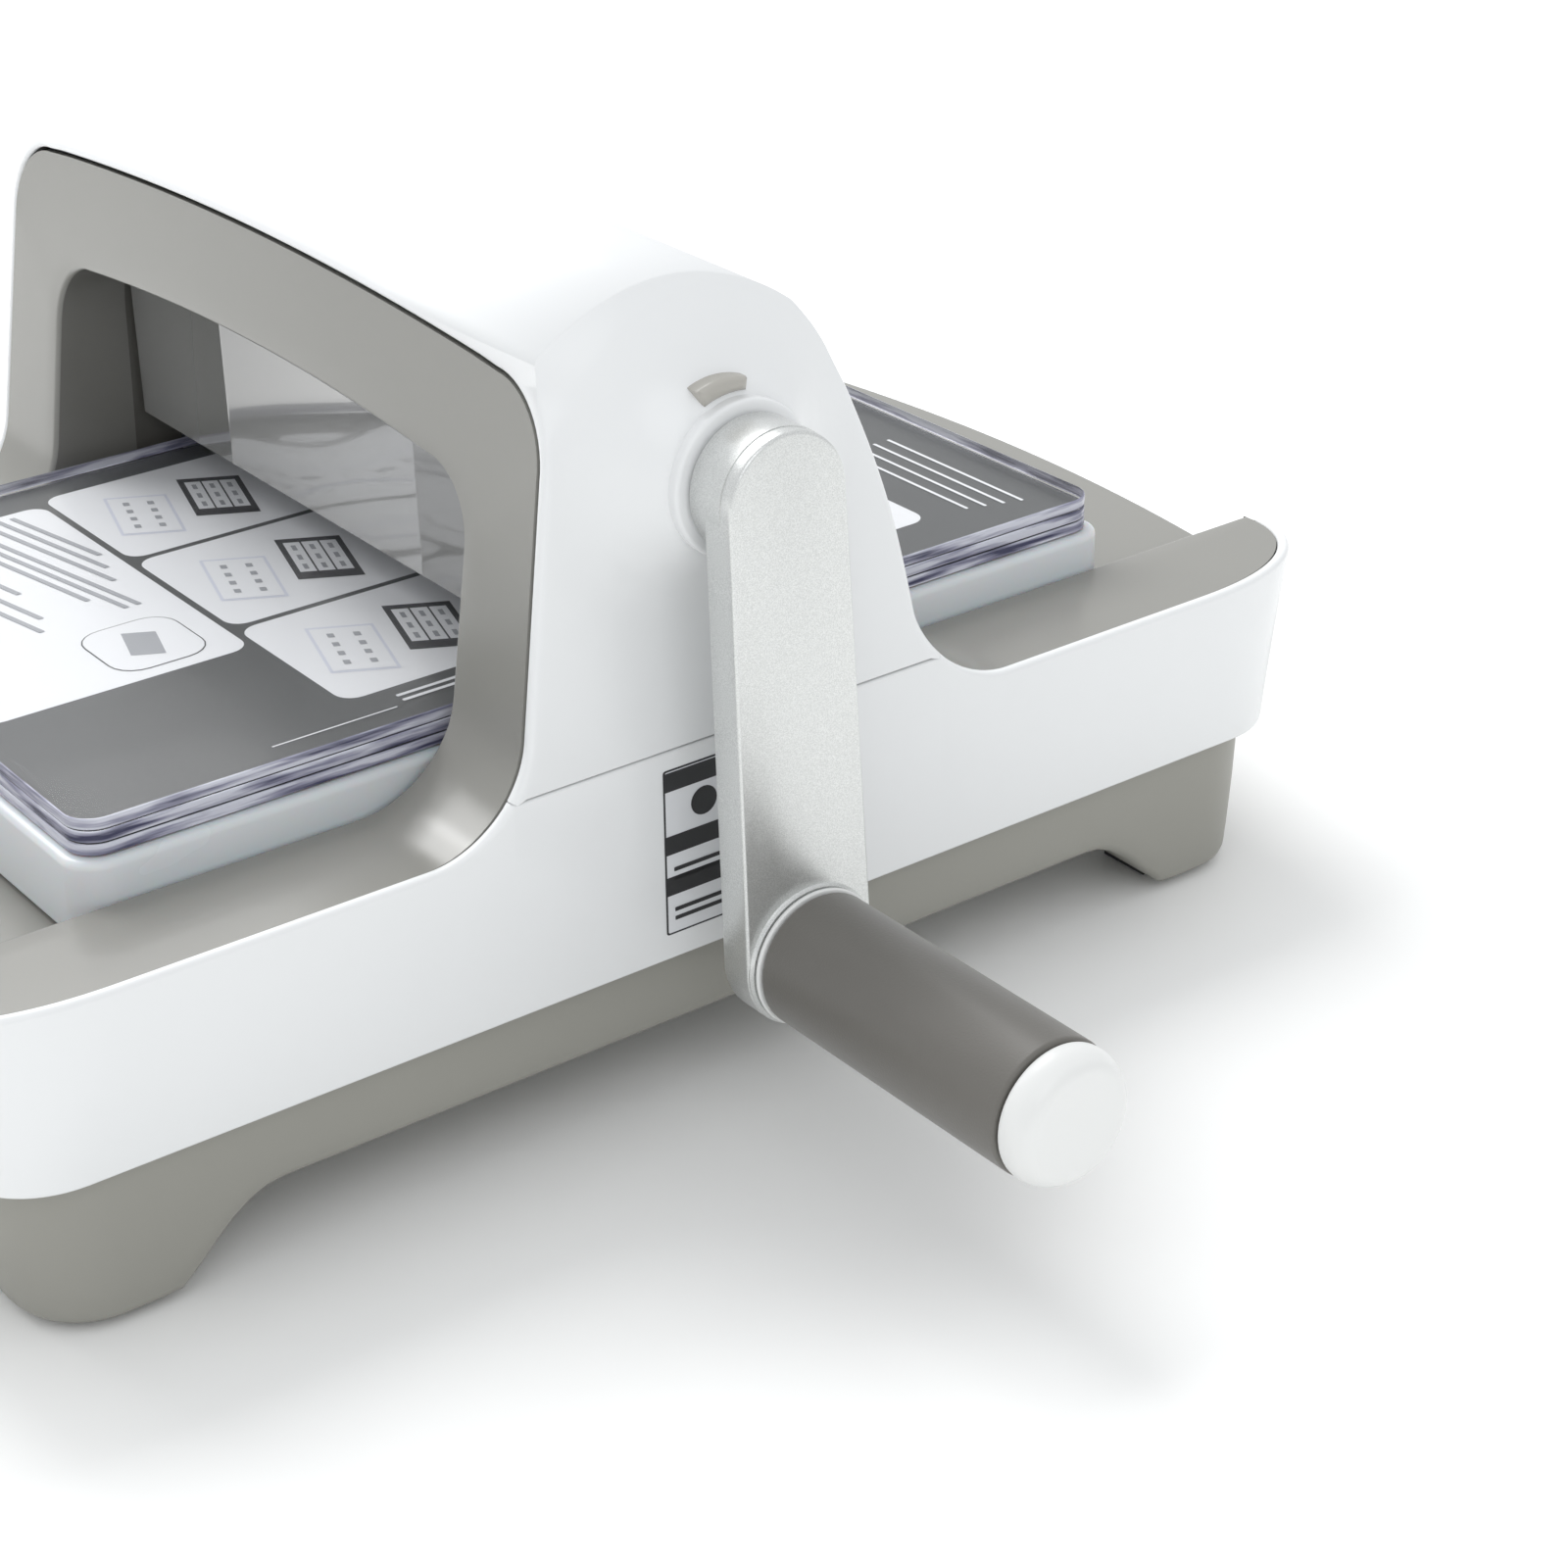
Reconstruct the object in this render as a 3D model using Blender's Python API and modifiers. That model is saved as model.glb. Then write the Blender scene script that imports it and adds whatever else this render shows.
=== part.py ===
"""Hand-cranked die cutting machine, modelled as the separate pieces it is built from.

Frame: X runs along the rollers with the crank at +X, Y is the feed direction, Z is up
and the feet stand on Z = 0.  All sizes are in metres.  Positions below are measured
from the middle of the housing; MACHINE_X shifts the whole machine so that the world
origin is the middle of its footprint, crank included.
"""
import math

import bmesh
import bpy
from mathutils import Vector

# ---- driving dimensions ---------------------------------------------------------------
GAP = 0.0003            # clearance between faces that touch
WALL = 0.003            # moulded wall thickness
BAND_WALL = 0.0023      # wall of the white band around the base

SIDE_X = 0.1088         # half width of the housing at the seam
LOWER_DRAFT = 0.02      # lower housing: half width gained per metre of height
COVER_LEAN = 0.04       # top cover: half width lost per metre of height
SEAM_Z = 0.0778         # joint line between lower housing and top cover
RIM_Z = 0.0693          # top of the white rim around the trays
BODY_LOW_Z = 0.0327     # lower edge of the white housing
BASE_UNDER_Z = 0.0164   # underside of the base between its legs

ARM_TIP_Y = 0.1653      # furthest point of the four corner arms, at the rim
LOW_END_Y = 0.1550     # the same point at the housing's lower edge
ARM_START_Y = 0.124     # where the straight side turns into an arm's round end
LOW_START_Y = 0.134
END_BULGE = 0.0071      # how far the ends bow out between the arms

FRONT_Y = 0.0326        # arch front edge, at ARCH_REF_Z
FRONT_LEAN = 0.158      # arch front edge: Y gained per metre going down
REAR_Y = 0.0272         # arch rear edge, at ARCH_REF_Z
REAR_LEAN = 0.316
ARCH_REF_Z = 0.150
ARCH_FLARE_Z = 0.088    # below this height the arch edges flare out into the rims
FLARE_RADIUS = 0.0185
COVER_TOP_Z = 0.157     # crown of the cover at its front and rear edges
COVER_CROWN = 0.45      # drop across the width, metres per square metre
COVER_RIDGE = 0.0110    # extra height of the cover half way from front to rear
COVER_CORNER = 0.018    # corner radius between the cover's side and top

CHANNEL_X = 0.0802      # half width of the feed channel, which is open at both ends
FLOOR_Z = 0.0595        # top of the channel floor
OPENING_X = 0.0823      # half width of the bezel opening
OPENING_TOP_Z = 0.1330
OPENING_CORNER = 0.014

PAD_X = 0.0778          # half width of the standard cutting pads
PAD_HALF_Y = 0.1185
PAD_MID_Y = 0.0023      # where the stack rests along the feed direction
BASE_PLATE_EDGE = 0.0020
BASE_PLATE_H = 0.0166
SHEET_H = 0.00225       # thickness of the adapter sheet and of each pad

ROLLER_RADIUS = 0.018
ROLLER_HALF_X = 0.0785
JOURNAL_RADIUS = 0.006
UPPER_AXIS_Z = 0.1023
LOWER_AXIS_Z = 0.0415

PLATE_X = 0.086         # inner face of the steel side plates
PLATE_T = 0.003
GEAR_X = 0.091          # inner face of every gear
GEAR_W = 0.006
DRIVE_MODULE = 0.0015
PINION_TEETH = 12
DRIVE_TEETH = 26
TRAIN_MODULE = 0.0016
SYNC_TEETH = 16
IDLER_TEETH = 11
TIE_RODS = ((-0.0265, 0.030), (0.0265, 0.030), (0.0135, 0.1345))   # (y, z)

HUB_Z = UPPER_AXIS_Z + DRIVE_MODULE * (PINION_TEETH + DRIVE_TEETH) / 2
SHAFT_RADIUS = 0.005
COLLAR_RADIUS = 0.015
DISH_X = 0.1116         # flat middle of the cover's dished boss
DISH_BACK_X = 0.1015    # its back, inside the cover
COLLAR_X = 0.1175       # outer end of the fixed collar
BOSS_X = 0.1183         # inner end of the crank's boss
ARM_FACE_X = 0.1305     # outer face of the crank arm
ARM_T = 0.008
CRANK_LENGTH = 0.0922
CRANK_TILT = math.radians(1.9)
HUB_RADIUS = 0.0128
FOOT_RADIUS = 0.0146    # round lower end of the crank arm
SPINDLE_RADIUS = 0.004
GRIP_START_X = 0.1328
GRIP_END_X = 0.1988
GRIP_RADIUS = 0.0135
CAP_END_X = 0.2062

BUTTON_IN = 0.0157      # inner and outer radius of the release button's crescent
BUTTON_OUT = 0.0192
BUTTON_FROM = math.radians(80)
BUTTON_TO = math.radians(114)
BUTTON_X = 0.1155       # outer face of the button

SHIELD_LOW_Z = 0.0910
SHIELD_HIGH_Z = 0.1400

LEG_GAP_Y = 0.1190      # legs stand outside this along Y ...
LEG_GAP_X = 0.0800      # ... and outside this along X
SCREW_X = 0.0935        # base screws and the posts they reach
SCREW_Y = 0.0950
FOOT_X = 0.0905         # rubber pads under the legs
FOOT_Y = 0.1230
MACHINE_X = -(CAP_END_X - SIDE_X) / 2

SIDEWAYS = (math.pi / 2, 0, math.pi / 2)   # turns a piece made along Z to lie along X
STANDING = (math.pi / 2, 0, 0)             # turns an outline made in XY to stand in XZ

# ---- colours: base colour, roughness, metallic ------------------------------------------
WHITE = ("white_plastic", (0.86, 0.87, 0.87), 0.25, 0.0)
GREY = ("warm_grey_plastic", (0.33, 0.33, 0.31), 0.28, 0.0)
DARK_GREY = ("base_grey_plastic", (0.25, 0.25, 0.23), 0.4, 0.0)
GRIP_GREY = ("grip_grey_plastic", (0.10, 0.10, 0.09), 0.5, 0.0)
SHIELD_GREY = ("gloss_grey_plastic", (0.30, 0.31, 0.31), 0.08, 0.0)
SILVER = ("satin_silver", (0.62, 0.64, 0.65), 0.35, 0.9)
STEEL = ("bright_steel", (0.58, 0.58, 0.59), 0.25, 1.0)
BRONZE = ("bearing_bronze", (0.45, 0.30, 0.14), 0.35, 1.0)
RUBBER = ("foot_rubber", (0.03, 0.03, 0.03), 0.8, 0.0)
FROSTED = ("frosted_base_plate", (0.80, 0.84, 0.85), 0.3, 0.0)
PRINT = ("printed_sheet", (0.18, 0.19, 0.19), 0.4, 0.0)
CLEAR = ("clear_pad", (0.75, 0.78, 0.88), 0.06, 0.0)


# ---- scene set-up -------------------------------------------------------------------
def clear_scene():
    for obj in list(bpy.data.objects):
        bpy.data.objects.remove(obj, do_unlink=True)


def new_collection(name):
    made = bpy.data.collections.new(name)
    bpy.context.scene.collection.children.link(made)
    return made


clear_scene()
PARTS = new_collection("die_cutting_machine")
CUTTERS = new_collection("cutters")


def empty(name, location, rotation=(0, 0, 0), parent=None):
    made = bpy.data.objects.new(name, None)
    PARTS.objects.link(made)
    made.location = location
    made.rotation_euler = rotation
    made.parent = parent
    return made


MACHINE = empty("machine_frame", (MACHINE_X, 0, 0))


def material(look):
    name, colour, roughness, metallic = look
    made = bpy.data.materials.get(name)
    if made is None:
        made = bpy.data.materials.new(name)
        made.use_nodes = True
        shader = made.node_tree.nodes["Principled BSDF"]
        shader.inputs["Base Color"].default_value = (*colour, 1)
        shader.inputs["Roughness"].default_value = roughness
        shader.inputs["Metallic"].default_value = metallic
    return made


def place(obj, look=None, location=(0, 0, 0), rotation=(0, 0, 0), parent=None):
    """Put an object in the machine; without a look it becomes a hidden cutter."""
    home = PARTS if look else CUTTERS
    if obj.name not in home.objects:
        home.objects.link(obj)
    obj.location = location
    obj.rotation_euler = rotation
    obj.parent = parent or MACHINE
    if look:
        obj.data.materials.append(material(look))
    else:
        obj.hide_render = True
        obj.display_type = "WIRE"
    return obj


def from_bmesh(name, bm):
    bmesh.ops.recalc_face_normals(bm, faces=bm.faces)
    mesh = bpy.data.meshes.new(name)
    bm.to_mesh(mesh)
    bm.free()
    return bpy.data.objects.new(name, mesh)


# ---- shapes ---------------------------------------------------------------------------
def block(name, low, high, bevel=0.0, **where):
    """A box between two corners, with its edges rounded by a Bevel modifier."""
    bm = bmesh.new()
    bmesh.ops.create_cube(bm, size=1)
    size = [h - l for l, h in zip(low, high)]
    middle = [(h + l) / 2 for l, h in zip(low, high)]
    bmesh.ops.scale(bm, vec=size, verts=bm.verts)
    bmesh.ops.translate(bm, vec=middle, verts=bm.verts)
    obj = place(from_bmesh(name, bm), **where)
    if bevel:
        mod = obj.modifiers.new("rounded_edges", "BEVEL")
        mod.width = bevel
        mod.segments = 2
    return obj


def turned(name, profile, steps=24, **where):
    """A solid of revolution about Z from (radius, height) points, outer side first.

    The profile closes on the axis, or on itself when it never touches the axis.
    """
    mesh = bpy.data.meshes.new(name)
    ring = all(radius > 1e-6 for radius, _ in profile)
    edges = [(i, i + 1) for i in range(len(profile) - 1)]
    if ring:
        edges.append((len(profile) - 1, 0))
    mesh.from_pydata([(radius, 0, height) for radius, height in profile], edges, [])
    obj = place(bpy.data.objects.new(name, mesh), **where)
    mod = obj.modifiers.new("turn", "SCREW")
    mod.steps = steps
    mod.render_steps = steps
    mod.use_merge_vertices = True
    mod.merge_threshold = 0.00001
    mod.use_smooth_shade = True
    return obj


def disc(name, radius, low, high, steps=24, **where):
    return turned(name, [(0, high), (radius, high), (radius, low), (0, low)], steps, **where)


def tube(name, outer, inner, low, high, steps=24, **where):
    profile = [(inner, high), (outer, high), (outer, low), (inner, low)]
    return turned(name, profile, steps, **where)


def slab(name, outlines, low, high, **where):
    """A flat outline, holes included, filled as a 2D curve and given its thickness."""
    curve = bpy.data.curves.new(name, "CURVE")
    curve.dimensions = "2D"
    curve.fill_mode = "BOTH"
    curve.extrude = (high - low) / 2
    for outline in outlines:
        spline = curve.splines.new("POLY")
        spline.points.add(len(outline) - 1)
        for point, (u, v) in zip(spline.points, outline):
            point.co = (u, v, 0, 1)
        spline.use_cyclic_u = True
    drawn = bpy.data.objects.new(name + "_curve", curve)
    bpy.context.scene.collection.objects.link(drawn)
    graph = bpy.context.evaluated_depsgraph_get()
    mesh = bpy.data.meshes.new_from_object(drawn.evaluated_get(graph))
    bpy.data.objects.remove(drawn)
    bm = bmesh.new()
    bm.from_mesh(mesh)
    bmesh.ops.remove_doubles(bm, verts=bm.verts, dist=0.000001)
    bmesh.ops.translate(bm, vec=(0, 0, (low + high) / 2), verts=bm.verts)
    return place(from_bmesh(name, bm), **where)


def bridge(bm, rings, closed):
    """Join rings of equal length with quads; closed rings of rings make a tube wall."""
    count = len(rings)
    last = count if closed else count - 1
    for i in range(last):
        here, there = rings[i], rings[(i + 1) % count]
        for j in range(len(here)):
            k = (j + 1) % len(here)
            bm.faces.new((here[j], here[k], there[k], there[j]))


def lofted(name, low_outline, high_outline, low, high, **where):
    """A solid between two outlines with the same number of points, lying in XY."""
    bm = bmesh.new()
    rings = []
    for outline, level in ((low_outline, low), (high_outline, high)):
        rings.append([bm.verts.new((u, v, level)) for u, v in outline])
    bridge(bm, rings, closed=False)
    bm.faces.new(rings[0])
    bm.faces.new(rings[1])
    return place(from_bmesh(name, bm), **where)


def boolean(obj, other, operation, solver="EXACT"):
    mod = obj.modifiers.new(operation.lower(), "BOOLEAN")
    mod.operation = operation
    mod.object = other
    mod.solver = solver
    return obj


def cut(obj, *cutters, solver="EXACT"):
    for cutter in cutters:
        boolean(obj, cutter, "DIFFERENCE", solver)
    return obj


def join(obj, *others, solver="EXACT"):
    for other in others:
        boolean(obj, other, "UNION", solver)
    return obj


def arc(centre, radius, start, end, count):
    """Points on an arc, both ends included; angles in radians."""
    angles = [start + (end - start) * i / count for i in range(count + 1)]
    return [(centre[0] + radius * math.cos(a), centre[1] + radius * math.sin(a)) for a in angles]


def rounded_rectangle(half_x, half_y, radius, count=3):
    points = []
    for quarter, (sx, sy) in enumerate(((1, 1), (-1, 1), (-1, -1), (1, -1))):
        centre = (sx * (half_x - radius), sy * (half_y - radius))
        start = quarter * math.pi / 2
        points += arc(centre, radius, start, start + math.pi / 2, count)
    return points


# ---- rules that several pieces share ------------------------------------------------------
def front_edge(z):
    """Distance in front of the rollers of the arch's front edge at height z."""
    return FRONT_Y + FRONT_LEAN * (ARCH_REF_Z - z)


def rear_edge(z):
    return REAR_Y + REAR_LEAN * (ARCH_REF_Z - z)


def flared(edge, z):
    """An arch edge with the concave flare that runs out into the rim."""
    if z >= ARCH_FLARE_Z:
        return edge(z)
    drop = min(ARCH_FLARE_Z - z, FLARE_RADIUS)
    flare = FLARE_RADIUS - math.sqrt(max(FLARE_RADIUS ** 2 - drop ** 2, 0))
    return edge(z) + flare


def cover_side(z):
    """Half width of the top cover at height z."""
    return SIDE_X - COVER_LEAN * (z - SEAM_Z)


def housing_quarter(side_x, tip_y, start_y):
    """Plan outline of one quarter of the housing, from its end's middle to its side."""
    points = []
    for step in range(5):
        x = CHANNEL_X * step / 4
        points.append((x, tip_y - 0.0006 + END_BULGE * (1 - (x / CHANNEL_X) ** 2)))
    centre = (CHANNEL_X + 0.0012, start_y)
    reach = (side_x - centre[0], tip_y - start_y)
    for step in range(9):
        turn = math.pi / 2 * (1 - step / 8)
        round_x = math.cos(turn) ** 0.87 if step else 0.0
        round_y = math.sin(turn) ** 0.87 if step < 8 else 0.0
        points.append((centre[0] + reach[0] * round_x, centre[1] + reach[1] * round_y))
    return points


def housing_plan(z, inset):
    """The same quarter at any height: the ends lean out and the sides are drafted."""
    share = (z - BODY_LOW_Z) / (RIM_Z - BODY_LOW_Z)
    side_x = SIDE_X + LOWER_DRAFT * (z - SEAM_Z)
    tip_y = LOW_END_Y + (ARM_TIP_Y - LOW_END_Y) * share
    start_y = LOW_START_Y + (ARM_START_Y - LOW_START_Y) * share
    return housing_quarter(side_x - inset, tip_y - inset, start_y)


def side_heights():
    """(y, z) along the top edge of the lower housing's side, front to rear."""
    levels = [RIM_Z, RIM_Z + 0.0008, RIM_Z + 0.0025, RIM_Z + 0.005, SEAM_Z - GAP / 2]
    front = [(-flared(front_edge, z), z) for z in levels]
    rear = [(flared(rear_edge, z), z) for z in levels]
    return front + rear[::-1]


def housing_ring(inset, top):
    """The lower housing's outline with a height for each point, as one closed ring."""
    arm_z = RIM_Z if top else BODY_LOW_Z
    end_z = FLOOR_Z if top else BODY_LOW_Z
    end = [(x, y, end_z) for x, y in housing_plan(end_z, inset)[:5]]
    arm = [(x, y, arm_z) for x, y in housing_plan(arm_z, inset)[5:]]
    quarter = end + arm
    side_x = arm[-1][0]
    side = [(side_x, y, z if top else arm_z) for y, z in side_heights()]
    front_right = [(x, -y, z) for x, y, z in quarter]
    right = front_right + side + quarter[::-1]
    left = [(-x, y, z) for x, y, z in right[::-1]]
    return right[:-1] + left[:-1]


# ---- housing ------------------------------------------------------------------------------
def make_lower_housing():
    """The white band: a wall lofted from the armed rim to a plain lower edge."""
    bm = bmesh.new()
    rings = []
    for inset, top in ((0, False), (0, True), (BAND_WALL, True), (BAND_WALL, False)):
        rings.append([bm.verts.new(p) for p in housing_ring(inset, top)])
    bridge(bm, rings, closed=True)
    return place(from_bmesh("lower_housing", bm), WHITE)


def cover_section(inset):
    """Half of the cover's cross-section, (x, z) from the seam up to the crown."""
    corner_z = COVER_TOP_Z - COVER_CROWN * (SIDE_X - COVER_CORNER) ** 2 - COVER_CORNER
    flare_mid_z = (SEAM_Z + ARCH_FLARE_Z) / 2
    levels = [SEAM_Z + GAP / 2, flare_mid_z, ARCH_FLARE_Z, 0.105, 0.120, corner_z]
    points = [(cover_side(z) - inset, z) for z in levels[:-1]]
    centre = (cover_side(corner_z) - COVER_CORNER, corner_z)
    points += arc(centre, COVER_CORNER - inset, 0, math.pi / 2, 5)
    for part in (0.75, 0.5, 0.25, 0):
        x = centre[0] * part
        points.append((x, COVER_TOP_Z - COVER_CROWN * x * x - inset))
    return points


def cover_station(bm, inset, share):
    """The cover's section at a share of the way from its front edge to its rear edge."""
    half = cover_section(inset)
    outer = cover_section(0)
    points = []
    for (x, z), (_, rule_z) in zip(half, outer):
        front = -flared(front_edge, rule_z)
        rear = flared(rear_edge, rule_z)
        on_top = max(0.0, (rule_z - 0.12) / (COVER_TOP_Z - 0.12))
        lift = COVER_RIDGE * on_top * 4 * share * (1 - share)
        points.append((x, front + (rear - front) * share, z + lift))
    mirrored = [(-x, y, z) for x, y, z in points[-2::-1]]
    return [bm.verts.new(p) for p in points + mirrored]


def make_top_cover(dish, cutters):
    """The arch: an upside-down U of constant wall, with a dished boss around the hub."""
    bm = bmesh.new()
    shares = (0, 0.25, 0.5, 0.75, 1)
    outer = [cover_station(bm, 0, share) for share in shares]
    inner = [cover_station(bm, WALL, share) for share in shares]
    loop = outer + inner[::-1]
    count = len(loop)
    for i in range(count):
        here, there = loop[i], loop[(i + 1) % count]
        for j in range(len(here) - 1):
            bm.faces.new((here[j], here[j + 1], there[j + 1], there[j]))
    for end in (0, -1):
        for i in range(len(shares) - 1):
            bm.faces.new((outer[i][end], outer[i + 1][end], inner[i + 1][end], inner[i][end]))
    cover = join(place(from_bmesh("top_cover", bm), WHITE), dish)
    return cut(cover, *cutters)


def arch_outline(inset):
    """The bezel's outer outline in XZ: the cover's inside, standing on the shelf."""
    half = cover_section(WALL + inset)[1:]
    foot = (half[0][0] - 0.0012, RIM_Z - 0.006)
    right = [foot] + half
    return right + [(-x, z) for x, z in right[-2::-1]]


def opening_outline():
    """The rounded opening in a bezel, running down past the channel floor."""
    crown = 0.0032
    centre = (OPENING_X - OPENING_CORNER, OPENING_TOP_Z - crown - OPENING_CORNER)
    low_x = CHANNEL_X - 0.0006
    right = [(low_x, FLOOR_Z + 0.001), (low_x, RIM_Z + 0.002), (OPENING_X, RIM_Z + 0.014)]
    right += arc(centre, OPENING_CORNER, 0, math.pi / 2, 5)
    right += [(centre[0] * part, OPENING_TOP_Z - crown * part ** 2) for part in (0.66, 0.33)]
    right.append((0, OPENING_TOP_Z))
    return right + [(-x, z) for x, z in right[-2::-1]]


def deck_outline(end, z):
    """Plan of one deck at height z: inside the white wall, a tongue under the arch."""
    quarter = housing_plan(z, BAND_WALL + 2 * GAP)
    side_x = quarter[-1][0]
    edge = front_edge if end < 0 else rear_edge
    inner_y = edge(RIM_Z) - WALL
    right = [(CHANNEL_X + 0.0024, 0.0115), (CHANNEL_X + 0.0024, inner_y), (side_x, inner_y)]
    right += quarter[::-1]
    outline = right + [(-x, y) for x, y in right[-2::-1]]
    return [(x, end * y) for x, y in outline]


def make_deck(name, end):
    """One tray with its bezel: shelves, channel, arch face and the tunnel's cheeks."""
    side = "front" if end < 0 else "rear"
    edge = front_edge if end < 0 else rear_edge
    deck_top = RIM_Z - 0.0004
    floor_z = FLOOR_Z - 0.0025
    deck = lofted(name, deck_outline(end, floor_z), deck_outline(end, deck_top),
                  floor_z, deck_top, look=GREY)

    # leaning bezel wall with its concave foot, drawn in YZ and extruded along X
    top_z = COVER_TOP_Z
    foot = [(flared(edge, z), z) for z in (0.0880, 0.0840, 0.0800, 0.0760, 0.0730, 0.0705)]
    face = [(edge(top_z), top_z)] + foot + [(foot[-1][0] + 0.004, deck_top - 0.001)]
    back = [(edge(deck_top) - 0.0016, deck_top - 0.0015), (edge(top_z) - WALL, top_z)]
    profile = [(end * y, z) for y, z in face + back]
    bezel = slab(side + "_bezel_wall", [profile], -SIDE_X, SIDE_X, rotation=SIDEWAYS)
    trim = slab(side + "_bezel_trim", [arch_outline(GAP)], -0.09, 0.09, rotation=STANDING)
    boolean(bezel, trim, "INTERSECT")

    # cheeks: the tunnel's side walls, from the bezel in to the roller shafts
    cheek_top = OPENING_TOP_Z - 0.004
    ribs = []
    for sign in (-1, 1):
        near, far = sorted((sign * (CHANNEL_X + 0.0002), sign * (CHANNEL_X + 0.0021)))
        profile = [(0.0085, deck_top - 0.004), (edge(deck_top) - 0.001, deck_top - 0.004),
                   (edge(cheek_top) - 0.001, cheek_top), (0.0085, cheek_top)]
        ribs.append(slab("%s_cheek_%s" % (side, "l" if sign < 0 else "r"),
                         [[(end * y, z) for y, z in profile]], near, far, rotation=SIDEWAYS))
    join(deck, bezel, *ribs, solver="MANIFOLD")

    opening = slab(side + "_opening", [opening_outline()], 0.023, 0.080, rotation=STANDING)
    if end > 0:
        opening.rotation_euler = (math.pi / 2, 0, math.pi)
    low, high = sorted((end * 0.002, end * (ARM_TIP_Y + 0.02)))
    channel = block(side + "_channel", (-CHANNEL_X, low, FLOOR_Z), (CHANNEL_X, high, 0.1))
    pockets = []
    for sign in (-1, 1):
        x = sorted((sign * (CHANNEL_X + 0.0026), sign * (SIDE_X - 0.0062)))
        y = sorted((end * (edge(RIM_Z) + 0.002), end * 0.136))
        pockets.append(block("%s_pocket_%s" % (side, "l" if sign < 0 else "r"),
                             (x[0], y[0], 0.05), (x[1], y[1], deck_top - 0.0025)))
    cut(deck, opening, channel, *pockets, solver="MANIFOLD")

    # screw posts under the shelves
    for sign in (-1, 1):
        spot = (sign * SCREW_X, end * SCREW_Y, 0)
        label = "%s_post_%s" % (side, "l" if sign < 0 else "r")
        post = disc(label, 0.0042, 0.0195, deck_top - 0.001, 12, location=spot)
        bore = disc(label + "_bore", 0.0019, 0.01, 0.040, 8, location=spot)
        join(deck, post, solver="MANIFOLD")
        cut(deck, bore, solver="MANIFOLD")
    return deck


def base_ring(x, y, z, radius):
    return [(px, py, z) for px, py in rounded_rectangle(x, y, radius, 5)]


def make_base_pan():
    """The grey pan: four drafted legs under an open-topped tub."""
    bm = bmesh.new()
    rings = []
    for x, y, z, radius in ((0.1046, 0.1445, 0.0018, 0.014), (0.1052, 0.1488, 0.018, 0.016),
                            (0.1052, 0.1504, 0.042, 0.020), (0.1026, 0.1478, 0.042, 0.0175),
                            (0.1024, 0.1462, 0.0188, 0.014)):
        rings.append([bm.verts.new(p) for p in base_ring(x, y, z, radius)])
    bridge(bm, rings, closed=False)
    bm.faces.new(rings[0][::-1])
    bm.faces.new(rings[-1])
    pan = place(from_bmesh("base_pan", bm), DARK_GREY)
    corner = 0.014
    centre = (LEG_GAP_Y - 0.0060 - corner, BASE_UNDER_Z - corner)
    half = [(LEG_GAP_Y, -0.002), (LEG_GAP_Y - 0.0055, 0.006)]
    half += arc(centre, corner, math.radians(8), math.pi / 2, 5)
    outline = half + [(-y, z) for y, z in half[::-1]]
    along_x = slab("leg_gap_sides", [outline], -0.13, 0.13, rotation=SIDEWAYS)
    half = [(LEG_GAP_X, -0.002), (LEG_GAP_X - 0.004, BASE_UNDER_Z)]
    outline = half + [(-x, z) for x, z in half[::-1]]
    along_y = slab("leg_gap_ends", [outline], -0.16, 0.16, rotation=STANDING)
    holes = []
    for x in (-SCREW_X, SCREW_X):
        for y in (-SCREW_Y, SCREW_Y):
            name = "pan_hole_%d" % (len(holes) + 1)
            holes.append(disc(name, 0.0018, 0.01, 0.03, 8, location=(x, y, 0)))
    return cut(pan, along_x, along_y, *holes)


def make_feet_and_screws():
    for y_name, y in (("front", -1), ("rear", 1)):
        for x_name, x in (("left", -1), ("right", 1)):
            pad = block("foot_pad_%s_%s" % (y_name, x_name), (-0.0065, -0.0030, 0),
                        (0.0065, 0.0030, 0.0015), look=RUBBER,
                        location=(x * FOOT_X, y * FOOT_Y, 0))
            mod = pad.modifiers.new("rounded_edges", "BEVEL")
            mod.width = 0.0004
            mod.segments = 1
            turned("base_screw_%s_%s" % (y_name, x_name),
                   [(0, 0.034), (0.0015, 0.034), (0.0015, 0.0161), (0.003, 0.0161),
                    (0.0026, 0.0146), (0, 0.0146)],
                   8, look=STEEL, location=(x * SCREW_X, y * SCREW_Y, 0))


def make_shield(name, end):
    """A glossy guard hanging behind the bezel, just above the passing stack."""
    near, far = 0.0190, 0.0210
    y = sorted((end * near, end * far))
    reach = CHANNEL_X - GAP
    panel = block(name, (-reach, y[0], SHIELD_LOW_Z), (reach, y[1], SHIELD_HIGH_Z),
                  look=SHIELD_GREY)
    grooves = []
    for x in (-0.0385, 0.0385):
        groove_y = sorted((end * (far - 0.0004), end * (far + 0.001)))
        grooves.append(block("%s_groove_%d" % (name, len(grooves)),
                             (x - 0.0003, groove_y[0], SHIELD_LOW_Z - 0.001),
                             (x + 0.0003, groove_y[1], SHIELD_HIGH_Z + 0.001)))
    return cut(panel, *grooves)


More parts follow.
